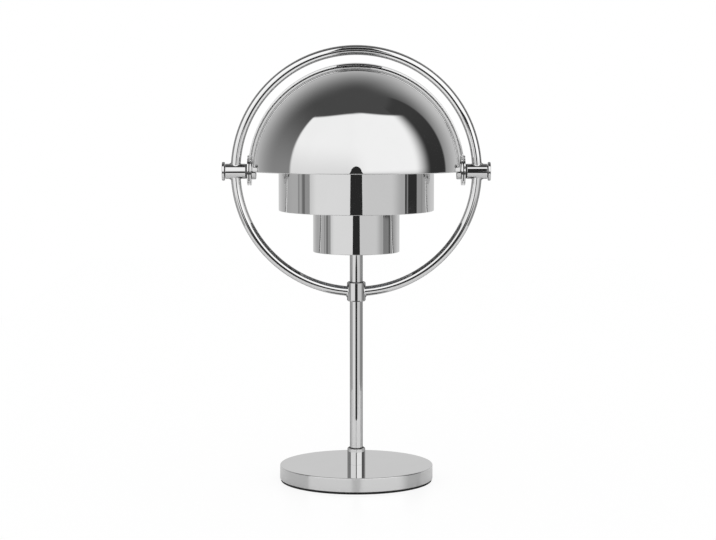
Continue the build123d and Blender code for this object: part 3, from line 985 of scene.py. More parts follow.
@dataclass
class WeightedBase:
    """Round base with its foot, push button, charging socket and what it holds."""

    radius: float = 47.6
    low: float = 1.2
    top: float = 10.0
    wall: float = 1.5
    edge: float = 0.6
    ceiling_round: float = 0.4
    lower_edge: float = 0.15
    bore: float = 4.04
    foot_radius: float = 47.1
    foot_edge: float = 0.25
    foot_lip: float = 0.25
    foot_lip_inside: float = 46.3
    foot_lip_edge: float = 0.1
    groove_places: tuple[float, ...] = (12.0, 22.0, 32.0, 42.0)
    groove_mouth: float = 1.2
    groove_roof: float = 0.8
    groove_depth: float = 0.35
    socket_size: tuple[float, float] = (9.4, 3.7)
    socket_level: float = 5.2
    button_offset: float = 11.5
    button_level: float = 5.4
    button_radius: float = 2.2
    button_play: float = 0.1
    button_flange: float = 2.7
    button_flange_face: float = 45.82
    button_flange_thickness: float = 0.8
    button_flange_edge: float = 0.1
    button_proud: float = 0.8
    button_round: float = 0.4
    dish_radius: float = 1.4
    dish_rim: float = 0.02
    dish_depth: float = 0.2
    dish_round: float = 0.3
    hole_inside: float = 4.0
    hole_depth: float = 8.0
    hole_steps: int = 48
    slot_end_steps: int = 12
    button_steps: int = 64
    steps: int = 192

    @property
    def button_way(self) -> Vector:
        """Direction of the button's axis, outwards."""
        across = self.button_offset / self.radius
        return Vector((across, math.sqrt(1 - across**2), 0))

    @property
    def shell_low(self) -> float:
        """Height of the shell's lower edge, on the foot's lip."""
        return self.low + self.foot_lip

    def shell_outline(self) -> Outline:
        """Outline the hollow shell, with a soft upper edge.

        Returns:
            The outline.
        """
        inner = self.radius - self.wall
        ceiling = self.top - self.wall
        return Outline((
            Corner(self.radius, self.shell_low, self.lower_edge), Corner(self.radius, self.top, self.edge),
            Corner(self.bore, self.top), Corner(self.bore, ceiling),
            Corner(inner, ceiling, self.ceiling_round), Corner(inner, self.shell_low, self.lower_edge)))

    def socket_slot(self) -> list[Point]:
        """Outline the socket's slot, round at both ends.

        Returns:
            Points about its middle, anticlockwise.
        """
        width, height = self.socket_size
        round_end = height / 2
        straight = (width - height) / 2
        turns = [math.pi * (k / self.slot_end_steps - 0.5) for k in range(self.slot_end_steps + 1)]
        right = [(straight + round_end * math.cos(turn), round_end * math.sin(turn)) for turn in turns]
        return right + [(-x, -y) for x, y in right]

    def build_shell(self, shop: Workshop) -> None:
        """Build the shell, with its socket slot and button hole at the back.

        Args:
            shop: Finishes and placing.
        """
        outline = self.shell_outline()
        mesh = turned(outline, self.steps).mesh("base_shell_skin")
        start = self.radius - self.hole_inside
        slot_place = along_axis((0, 1, 0), (0, start, self.socket_level))
        button_start = self.button_way * start + Vector((0, 0, self.button_level))
        button_place = along_axis(self.button_way, button_start)
        button_hole = circle(self.button_radius + self.button_play, self.hole_steps)
        holes = [
            prism(self.socket_slot(), self.hole_depth, slot_place),
            prism(button_hole, self.hole_depth, button_place),
        ]
        shop.put("base_shell_plated", cut_holes(mesh, outline, holes), shop.chrome, Body.STAND,
                 "base_shell")

    def build_foot(self, shop: Workshop) -> None:
        """Build the foot, with grip grooves in its underside and a lip under the shell's wall.

        Args:
            shop: Finishes and placing.
        """
        grooves = []
        for middle in self.groove_places:
            grooves += [
                Corner(middle - self.groove_mouth, 0), Corner(middle - self.groove_roof, self.groove_depth),
                Corner(middle + self.groove_roof, self.groove_depth), Corner(middle + self.groove_mouth, 0)]
        outline = Outline((
            Corner(0, 0), *grooves, Corner(self.foot_radius, 0, self.foot_edge),
            Corner(self.foot_radius, self.shell_low, self.foot_lip_edge),
            Corner(self.foot_lip_inside, self.shell_low), Corner(self.foot_lip_inside, self.low),
            Corner(0, self.low)))
        mesh = turned(outline, self.steps).mesh("foot_pad_skin")
        shop.put("foot_pad_moulded", mesh, shop.rubber, Body.STAND, "foot_pad")

    def build_button(self, shop: Workshop) -> None:
        """Build the push button, with a slightly hollow face.

        Args:
            shop: Finishes and placing.
        """
        face = self.radius + self.button_proud
        flange = self.button_flange_face
        behind = flange - self.button_flange_thickness
        outline = Outline((
            Corner(0, behind), Corner(self.button_flange, behind, self.button_flange_edge),
            Corner(self.button_flange, flange, self.button_flange_edge), Corner(self.button_radius, flange),
            Corner(self.button_radius, face, self.button_round),
            Corner(self.dish_radius, face - self.dish_rim, self.dish_round),
            Corner(0, face - self.dish_depth)))
        skin = turned(outline, self.button_steps, along_axis(self.button_way, (0, 0, self.button_level)))
        shop.put("power_button_plated", skin.mesh("power_button_skin"), shop.chrome, Body.BUTTON,
                 "power_button")

    def build(self, shop: Workshop) -> None:
        """Build and dress the whole base.

        Args:
            shop: Finishes and placing.
        """
        self.build_shell(shop)
        self.build_foot(shop)
        self.build_button(shop)
        shop.dress("base_plate", shop.powder)
        shop.dress("button_switch", shop.nylon)
        shop.dress("control_board", shop.green_board)
        for node in ("base_plate_screws", "base_weight", "charge_socket"):
            shop.dress(node, shop.zinc)
        for side in Side:
            shop.dress(f"battery_cell_{side.word}", shop.foil)


# Stem


@dataclass
class Stem:
    """Tube with a collar at the base, the nuts on it and the lead inside it."""

    radius: float = 4.0
    wall: float = 1.0
    low: float = 5.5
    high: float = 183.8
    lower_edge: float = 0.1
    upper_edge: float = 0.2
    bore: float = 4.04
    collar_radius: float = 5.5
    collar_low: float = 10.0
    collar_high: float = 20.4
    collar_foot_edge: float = 0.05
    chamfer: float = 0.6
    softness: float = 0.12
    steps: int = 96

    def build(self, shop: Workshop) -> None:
        """Build and dress the stem.

        Args:
            shop: Finishes and placing.
        """
        inner = self.radius - self.wall
        tube = Outline((
            Corner(self.radius, self.low, self.lower_edge), Corner(self.radius, self.high, self.upper_edge),
            Corner(inner, self.high, self.upper_edge), Corner(inner, self.low, self.lower_edge)))
        collar = Outline((
            Corner(self.collar_radius, self.collar_low, self.collar_foot_edge),
            Corner(self.collar_radius, self.collar_high - self.chamfer, self.softness),
            Corner(self.collar_radius - self.chamfer, self.collar_high, self.softness),
            Corner(self.bore, self.collar_high), Corner(self.bore, self.collar_low)))
        for node, outline in (("stem_tube", tube), ("base_collar", collar)):
            mesh = turned(outline, self.steps).mesh(node + "_skin")
            shop.put(node + "_plated", mesh, shop.tube_chrome_painted_edge_shade, Body.STAND, node)
        for node in ("stem_nut_base", "stem_nut_lower", "stem_nut_upper"):
            shop.dress(node, shop.zinc)
        shop.dress("stem_lead", shop.sheath)


# Ring and pivots


@dataclass(frozen=True)
class BarEnd:
    """End of a bent bar: its angle on the ring, the round piece that it meets, and the way it leaves that."""

    angle: float
    meets_radius: float
    way: int


@dataclass
class Ring:
    """Upright ring of three bent bars, its collar on the stem, and the two pivots."""

    mid_radius: float = 74.4
    bar_radius: float = 3.0
    bar_around: int = 48
    upper_rows: int = 160
    lower_rows: int = 80
    fillet: float = 0.9
    fillet_rows: int = 8
    blend: float = 8.0
    seat: float = 0.2
    collar_radius: float = 5.75
    collar_low: float = 112.3
    collar_high: float = 124.3
    collar_bore: float = 4.04
    chamfer: float = 0.6
    softness: float = 0.12
    set_screw_radius: float = 1.5
    set_screw_start: float = 3.0
    set_screw_depth: float = 6.0
    set_screw_steps: int = 32
    barrel_radius: float = 4.6
    barrel_span: tuple[float, float] = (68.1, 80.7)
    barrel_edge: float = 0.35
    bolt_radius: float = 2.0
    bolt_play: float = 0.05
    bolt_start: float = 62.55
    neck_radius: float = 3.3
    neck_length: float = 0.4
    head_radius: float = 5.7
    head_thickness: float = 1.6
    head_round: float = 0.4
    nut_radius: float = 4.9
    nut_span: tuple[float, float] = (61.75, 64.55)
    thrust_washer: tuple[float, float, float] = (4.5, 67.1, 68.05)
    friction_washer: tuple[float, float, float] = (6.0, 65.65, 66.0)
    washer_edge: float = 0.12
    washer_steps: int = 64
    steps: int = 96

    @property
    def bore(self) -> float:
        """Radius of the holes that the pivot bolts run in."""
        return self.bolt_radius + self.bolt_play

    def fillet_section(self, step: int, end: BarEnd, spin: Sequence[float]) -> list[EdgeStep]:
        """Section of the fillet at one end of a bar.

        Args:
            step: Which section, from where the fillet meets the round piece; -1 is seated inside that.
            end: The end.
            spin: Angles round the bar.

        Returns:
            Angle on the ring, bar radius and lean of the surface, at each angle round the bar.
        """
        found = []
        for turn in spin:
            full = math.acos(self.bar_radius * math.sin(turn) ** 2 / end.meets_radius)
            widest = self.bar_radius + self.fillet * (1 - math.cos(full))
            touch = math.sqrt(end.meets_radius**2 - (widest * math.sin(turn)) ** 2)
            lean = full * min(1.0, 1 - step / self.fillet_rows)
            along = touch + self.fillet * (math.sin(full) - math.sin(lean)) - (self.seat if step < 0 else 0)
            radius = self.bar_radius + self.fillet * (1 - math.cos(lean))
            angle = math.radians(end.angle) + end.way * along / self.mid_radius
            found.append((angle, radius, end.way * lean))
        return found

    def bar(self, first: BarEnd, last: BarEnd, rows: int) -> Skin:
        """Sweep a round bar along the ring, with a fillet where each end meets a round piece.

        Args:
            first: End with the smaller angle, in degrees from the right pivot and up.
            last: End with the larger angle.
            rows: Sections between the fillets.

        Returns:
            The bar's faces.
        """
        around = self.bar_around
        spin = [2 * math.pi * k / around for k in range(around)]
        start = math.radians(first.angle) + self.blend / self.mid_radius
        finish = math.radians(last.angle) - self.blend / self.mid_radius
        steps = range(-1, self.fillet_rows + 1)
        sections = [self.fillet_section(step, first, spin) for step in steps]
        for k in range(rows + 1):
            sections.append([(start + (finish - start) * k / rows, self.bar_radius, 0.0)] * around)
        sections += [self.fillet_section(step, last, spin) for step in reversed(steps)]
        skin = Skin()
        grid: list[list[tuple[int, Vector]]] = []
        for section in sections:
            row = []
            for (angle, radius, lean), turn in zip(section, spin):
                out = Vector((math.cos(angle), 0, math.sin(angle)))
                onward = Vector((-math.sin(angle), 0, math.cos(angle)))
                side = out * math.cos(turn) + Vector((0, math.sin(turn), 0))
                place = Vector((0, 0, PIVOT_HEIGHT)) + out * self.mid_radius + side * radius
                row.append((skin.point(place), side * math.cos(lean) + onward * math.sin(lean)))
            grid.append(row)
        for low, high in zip(grid, grid[1:]):
            for k in range(around):
                n = (k + 1) % around
                corners = (low[k], low[n], high[n], high[k])
                skin.face([c[0] for c in corners], [c[1] for c in corners])
        self.close_end(skin, [number for number, _ in grid[0]], first)
        self.close_end(skin, [number for number, _ in grid[-1]], last)
        return skin

    def close_end(self, skin: Skin, rim: Sequence[int], end: BarEnd) -> None:
        """Close the end of a bar inside the round piece that it meets.

        Args:
            skin: Faces to add to.
            rim: Points round the end.
            end: The end.
        """
        angle = math.radians(end.angle)
        out = Vector((math.cos(angle), 0, math.sin(angle)))
        facing = [Vector((-math.sin(angle), 0, math.cos(angle))) * -end.way] * 3
        middle = skin.point(Vector((0, 0, PIVOT_HEIGHT)) + out * self.mid_radius)
        for k in range(len(rim)):
            n = (k + 1) % len(rim)
            pair = (rim[n], rim[k]) if end.way > 0 else (rim[k], rim[n])
            skin.face((*pair, middle), facing)

    def build_bars(self, shop: Workshop) -> None:
        """Build the three bent bars.

        Args:
            shop: Finishes and placing.
        """
        barrel, collar = self.barrel_radius, self.collar_radius
        bars = (
            ("ring_upper_arc", BarEnd(0, barrel, 1), BarEnd(180, barrel, -1), self.upper_rows),
            ("ring_lower_arc_left", BarEnd(-180, barrel, 1), BarEnd(-90, collar, -1), self.lower_rows),
            ("ring_lower_arc_right", BarEnd(-90, collar, 1), BarEnd(0, barrel, -1), self.lower_rows),
        )
        for node, first, last, rows in bars:
            mesh = self.bar(first, last, rows).mesh(node + "_skin")
            shop.put(node + "_plated", mesh, shop.bar_chrome_painted_light, Body.STAND, node)

    def build_collar(self, shop: Workshop) -> None:
        """Build the collar on the stem, with the set screw's hole at the back.

        Args:
            shop: Finishes and placing.
        """
        outer, inner = self.collar_radius, self.collar_radius - self.chamfer
        low, high = self.collar_low, self.collar_high
        outline = Outline((
            Corner(inner, low, self.softness), Corner(outer, low + self.chamfer, self.softness),
            Corner(outer, high - self.chamfer, self.softness), Corner(inner, high, self.softness),
            Corner(self.collar_bore, high), Corner(self.collar_bore, low)))
        place = along_axis((0, 1, 0), (0, self.set_screw_start, (low + high) / 2))
        hole = prism(circle(self.set_screw_radius, self.set_screw_steps), self.set_screw_depth, place)
        mesh = cut_holes(turned(outline, self.steps).mesh("ring_collar_skin"), outline, [hole])
        shop.put("ring_collar_plated", mesh, shop.tube_chrome_painted_edge_shade, Body.STAND, "ring_collar")
        shop.dress("ring_set_screw", shop.oxide)

    def washer(self, size: tuple[float, float, float]) -> Outline:
        """Outline a washer.

        Args:
            size: Its radius and its two levels on the axis.

        Returns:
            The outline.
        """
        radius, low, high = size
        return Outline((
            Corner(radius, low, self.washer_edge), Corner(radius, high, self.washer_edge),
            Corner(self.bore, high), Corner(self.bore, low)))

    def build_pivot(self, shop: Workshop, side: Side) -> None:
        """Build the barrel, bolt, nut and washers of one pivot.

        Args:
            shop: Finishes and placing.
            side: Which end of the axis.
        """
        place = along_axis((side.value, 0, 0), (0, 0, PIVOT_HEIGHT))
        low, high = self.barrel_span
        neck = high + self.neck_length
        head = neck + self.head_thickness
        nut_low, nut_high = self.nut_span
        barrel = Outline((
            Corner(self.barrel_radius, low, self.barrel_edge),
            Corner(self.barrel_radius, high, self.barrel_edge),
            Corner(self.bore, high), Corner(self.bore, low)))
        bolt = Outline((
            Corner(0, self.bolt_start), Corner(self.bolt_radius, self.bolt_start),
            Corner(self.bolt_radius, high),
            Corner(self.neck_radius, high), Corner(self.neck_radius, neck),
            Corner(self.head_radius, neck, self.head_round), Corner(self.head_radius, head, self.head_round),
            Corner(0, head)))
        nut = Outline((
            Corner(0, nut_low), Corner(self.nut_radius, nut_low, self.head_round),
            Corner(self.nut_radius, nut_high, self.head_round), Corner(self.bolt_radius, nut_high),
            Corner(self.bolt_radius, self.bolt_start), Corner(0, self.bolt_start)))
        for kind, outline in (("pivot_barrel", barrel), ("pivot_bolt", bolt), ("pivot_nut", nut)):
            node = f"{kind}_{side.word}"
            mesh = turned(outline, self.steps, place).mesh(node + "_skin")
            shop.put(node + "_plated", mesh, shop.tube_chrome_painted_edge_shade, Body.STAND, node)
            if outline is bolt:
                mesh.materials.append(shop.oxide)
                for face in mesh.polygons:
                    face.material_index = int(high * MM < abs(face.center.x) < neck * MM - TINY)
        for kind, size in (("thrust_washer", self.thrust_washer), ("friction_washer", self.friction_washer)):
            node = f"{kind}_{side.word}"
            mesh = turned(self.washer(size), self.washer_steps, place).mesh(node + "_skin")
            shop.put(node + "_moulded", mesh, shop.nylon, Body.STAND, node)

    def build(self, shop: Workshop) -> None:
        """Build and dress the ring with its collar and pivots.

        Args:
            shop: Finishes and placing.
        """
        self.build_bars(shop)
        self.build_collar(shop)
        for side in Side:
            self.build_pivot(shop, side)


# Turning shades


class ShadePlace(Enum):
    """The two nested shades, as they stand at rest."""

    FRONT = "front"
    REAR = "rear"


@dataclass
class TurningShade:
    """Quarter-sphere shell with a flat ear at each pole, which turns about the pivots."""

    place: ShadePlace
    body: Body
    radius: float
    first_angle: float
    ear_face: float
    boss_radius: float
    span: float = 90.0
    thickness: float = 1.0
    polished_share: float = 0.8
    ear_radius: float = 8.7
    ear_bore: float = 2.05
    ear_edge: float = 0.2
    ear_steps: int = 96
    boss_slope: float = 0.5
    boss_step: float = 0.4
    boss_round: float = 0.4
    boss_round_inside: float = 0.3
    rim_round: float = 0.35
    round_steps: int = 5
    edge_round: float = 0.45
    edge_steps: int = 4
    edge_run_in: float = 0.6
    bevel: float = 0.0
    bevel_round: float = 0.18
    shell_lap: float = 0.6
    lap_inset: float = 0.02
    arc_points: int = 150
    steps: int = 72

    @property
    def cut_angles(self) -> Point:
        """Angles of the two cut edges, in radians up from the front."""
        return math.radians(self.first_angle), math.radians(self.first_angle + self.span)

    def arc(self, radius: float, start: float, sign: int) -> list[Corner]:
        """Arc of the sphere between its two rims.

        Args:
            radius: Radius of the sphere.
            start: Distance of the rims from the axis.
            sign: 1 for an arc that runs down the axis, -1 for one that runs up.

        Returns:
            The arc's points, the first and last of them rounded corners.
        """
        limit = math.acos(start / radius)
        found = []
        for k in range(self.arc_points + 1):
            angle = limit - 2 * limit * k / self.arc_points
            out, up = radius * math.cos(angle), sign * radius * math.sin(angle)
            if k in (0, self.arc_points):
                found.append(Corner(out, up, self.rim_round))
            else:
                found.append(Corner(out, up, 0.0, (-sign * out / radius, -sign * up / radius)))
        return found

    def section(self) -> Outline:
        """Outline the shell across, from one ear over the top to the other.

        Returns:
            The outline.
        """
        rim = self.boss_radius + self.boss_slope
        boss_inside = self.boss_radius - self.boss_step
        face = self.ear_face - self.lap_inset
        back = self.ear_face - self.thickness + self.lap_inset
        lap = self.ear_radius - self.shell_lap
        return Outline((
            Corner(lap, -face), Corner(self.boss_radius, -face, self.boss_round),
            *self.arc(self.radius, rim, -1),
            Corner(self.boss_radius, face, self.boss_round), Corner(lap, face),
            Corner(lap, back), Corner(boss_inside, back, self.boss_round_inside),
            *self.arc(self.radius - self.thickness, rim - self.boss_step, 1),
            Corner(boss_inside, -back, self.boss_round_inside), Corner(lap, -back)), self.round_steps)

    def edge_rows(self, bevel: float) -> list[tuple[EdgeStep, EdgeStep]]:
        """Round the two corners of a cut edge.

        Args:
            bevel: Slope of the cut, in degrees, that sets the outside back from the inside.

        Returns:
            Rows from the cut to the shell, each as the step along the shell, the depth below its surface
            and the lean of the surface there, outside and inside.
        """
        slope = math.radians(bevel)
        rounding = self.bevel_round if bevel else self.edge_round
        outside_end = rounding + math.tan(slope) * (self.thickness - 2 * rounding)
        rows = []
        for k in range(self.edge_steps + 1):
            left = 1 - k / self.edge_steps
            outside, inside = (slope - math.pi / 2) * left, (-slope - math.pi / 2) * left
            rows.append(tuple(
                (end + rounding * math.sin(lean), rounding * (1 - math.cos(lean)), lean)
                for end, lean in ((outside_end, outside), (rounding, inside))))
        return rows

    def stations(self) -> list[tuple[float, EdgeStep, EdgeStep]]:
        """List where the section is put, from one cut edge to the other.

        Returns:
            The angle, and the outside's and inside's step, depth and lean, of each section.
        """
        first, last = self.cut_angles
        plain = (0.0, 0.0, 0.0)
        found = [(first, *rows) for rows in self.edge_rows(self.bevel)]
        found += [(first + (last - first) * k / self.steps, plain, plain) for k in range(1, self.steps)]
        for rows in reversed(self.edge_rows(0.0)):
            found.append((last, *((-shift, depth, -lean) for shift, depth, lean in rows)))
        return found

    def build_shell(self, skin: Skin) -> None:
        """Turn the section through the shade's span and close its two cut edges with a small rounding.

        Args:
            skin: Faces to add to.
        """
        edges = self.section().edges
        middle = self.radius - self.thickness / 2
        grid: list[list[int]] = []
        facing: list[list[tuple[Vector, ...]]] = []
        for angle, outside, inside in self.stations():
            out = Vector((0, -math.cos(angle), math.sin(angle)))
            ahead = Vector((0, math.sin(angle), math.cos(angle)))
            row, normals = [], []
            for (start, begin), (_, finish) in edges:
                shift, depth, lean = outside if start.length > middle else inside
                share = max(0.0, min(1.0, (start.x - self.ear_radius) / self.edge_run_in))
                local = start - begin * depth * share
                row.append(skin.point(
                    Vector((local.y, 0, PIVOT_HEIGHT)) + out * local.x + ahead * shift * share))
                plain = [Vector((normal.y, 0, 0)) + out * normal.x for normal in (begin, finish)]
                normals.append(tuple(
                    (normal * math.cos(lean) + ahead * math.sin(lean)).normalized() for normal in plain))
            grid.append(row)
            facing.append(normals)
        for low, high, below, above in zip(grid, grid[1:], facing, facing[1:]):
            for k in range(len(edges)):
                n = (k + 1) % len(edges)
                skin.face(
                    (low[k], low[n], high[n], high[k]), (below[k][0], below[k][1], above[k][1], above[k][0]))
        first, last = self.cut_angles
        for row, normals, angle, way in ((grid[0], facing[0], first, -1), (grid[-1], facing[-1], last, 1)):
            ahead = Vector((0, math.sin(angle), math.cos(angle))) * way
            for corners in tessellate_polygon([[skin.points[number] for number in row]]):
                a, b, c = (skin.points[row[k]] for k in corners)
                picked = corners if (b - a).cross(c - a).dot(ahead) > 0 else corners[::-1]
                skin.face([row[k] for k in picked], [normals[k][0] for k in picked])

    def build(self, shop: Workshop) -> None:
        """Build and dress the shade, polished outside and satin inside.

        Args:
            shop: Finishes and placing.
        """
        skin = Skin()
        self.build_shell(skin)
        back = self.ear_face - self.thickness
        ear = Outline((
            Corner(self.ear_radius, back, self.ear_edge),
            Corner(self.ear_radius, self.ear_face, self.ear_edge),
            Corner(self.ear_bore, self.ear_face), Corner(self.ear_bore, back)))
        for side in Side:
            turned(ear, self.ear_steps, along_axis((side.value, 0, 0), (0, 0, PIVOT_HEIGHT)), skin)
        node = f"{self.place.value}_shade"
        mesh = skin.mesh(node + "_skin")
        shop.put(node + "_plated", mesh, shop.chrome, self.body, node)
        mesh.materials.append(shop.satin)
        centre = Vector((0, 0, PIVOT_HEIGHT * MM))
        reach = (self.radius - self.polished_share * self.thickness) * MM
        for face in mesh.polygons:
            face.material_index = int((face.center - centre).length < reach)


# Inner lamp


@dataclass
class InnerLamp:
    """Two open cylinders, the bracket that carries them and the light between them."""

    large_radius: float = 47.9
    large_span: tuple[float, float] = (168.7, 216.7)
    small_radius: float = 26.7
    small_span: tuple[float, float] = (143.1, 174.7)
    wall: float = 1.0
    lip: float = 0.3
    cylinder_steps: int = 192
    diffuser_radius: float = 18.6
    diffuser_span: tuple[float, float] = (182.7, 208.7)
    diffuser_wall: float = 1.5
    diffuser_round: float = 6.0
    diffuser_round_steps: int = 10
    diffuser_steps: int = 128

    def cylinder(self, radius: float, span: tuple[float, float]) -> Outline:
        """Outline an open cylinder with soft lips.

        Args:
            radius: Its outer radius.
            span: Its lower and upper end.

        Returns:
            The outline.
        """
        low, high = span
        inner = radius - self.wall
        return Outline((
            Corner(radius, low, self.lip), Corner(radius, high, self.lip),
            Corner(inner, high, self.lip), Corner(inner, low, self.lip)))

    def build_diffuser(self, shop: Workshop) -> None:
        """Build the opal cap over the light.

        Args:
            shop: Finishes and placing.
        """
        low, high = self.diffuser_span
        inner = self.diffuser_radius - self.diffuser_wall
        ceiling = high - self.diffuser_wall
        cap = Outline((
            Corner(self.diffuser_radius, low, self.lip),
            Corner(self.diffuser_radius, high, self.diffuser_round),
            Corner(0, high), Corner(0, ceiling),
            Corner(inner, ceiling, self.diffuser_round - self.diffuser_wall), Corner(inner, low, self.lip)),
            self.diffuser_round_steps)
        mesh = turned(cap, self.diffuser_steps).mesh("diffuser_skin")
        shop.put("diffuser_satin", mesh, shop.opal, Body.STAND, "diffuser")

    def build(self, shop: Workshop) -> None:
        """Build and dress the inner lamp.

        Args:
            shop: Finishes and placing.
        """
        cylinders = (
            ("large_cylinder", self.large_radius, self.large_span),
            ("small_cylinder", self.small_radius, self.small_span),
        )
        for node, radius, span in cylinders:
            mesh = turned(self.cylinder(radius, span), self.cylinder_steps).mesh(node + "_skin")
            shop.put(node + "_plated", mesh, shop.chrome, Body.STAND, node)
        self.build_diffuser(shop)
        shop.dress("shade_spider", shop.zinc)
        shop.dress("heat_sink", shop.aluminium)
        shop.dress("led_board", shop.white_board)
        shop.dress("led_chips", shop.phosphor)


# Studio


@dataclass(frozen=True)
class Patch:
    """Part of the studio that polished metal sees, in degrees from the front and above the horizon.

    Its brightness goes from one level to the other between two heights, its edges are soft by some
    degrees, and its height can drop away from the front.
    """

    name: str
    across: tuple[float, float]
    rise: tuple[float, float]
    level: tuple[float, float]
    level_rise: tuple[float, float] = (0.0, 1.0)
    soft_across: tuple[float, float] = (1.0, 1.0)
    soft_rise: float = 1.0
    drop: float = 0.0

    @classmethod
    def low(
        cls, name: str, across: tuple[float, float], level: float, soft_across: tuple[float, float]
    ) -> "Patch":
        """Make a patch of one brightness from the ground to just below the horizon.

        Args:
            name: Its name.
            across: Its two sides.
            level: Its brightness.
            soft_across: Softness of its two sides.

        Returns:
            The patch.
        """
        return cls(name, across, (-90, -1.8), (level, level), soft_across=soft_across, soft_rise=0.6)


@dataclass(frozen=True)
class Card:
    """Dark card that only polished metal sees, and only from a range of distances; a near one paints a dark
    reflection on the pieces it faces.

    It stands so far in front of the stem, has an outline across and up, and leans back by some degrees.
    """

    name: str
    front: float
    colour: str
    seen_from: tuple[float, float]
    outline: tuple[Point, ...]
    lean: float = 0.0


@dataclass(frozen=True)
class Bearings:
    """Where a ray goes: degrees round from the front, degrees up, and the cosine of the first."""

    across: bpy.types.NodeSocket
    rise: bpy.types.NodeSocket
    ahead: bpy.types.NodeSocket


def arch(flank: Sequence[Point], crown: float, power: float, steps: int = 16) -> tuple[Point, ...]:
    """Outline a card with a rounded top, alike on both sides.

    Args:
        flank: Points up its right side, the last of them where the rounding starts.
        crown: Height of its top.
        power: How pointed the rounding is; 1 is an ellipse.
        steps: Number of straight pieces round the top.

    Returns:
        The outline's points, anticlockwise.
    """
    half, spring = flank[-1]
    top = []
    for k in range(1, steps):
        turn = math.pi * k / steps
        across = math.copysign(abs(math.cos(turn)) ** power, math.cos(turn))
        top.append((half * across, spring + (crown - spring) * math.sin(turn) ** power))
    return (*flank, *top, *((-x, z) for x, z in reversed(flank)))


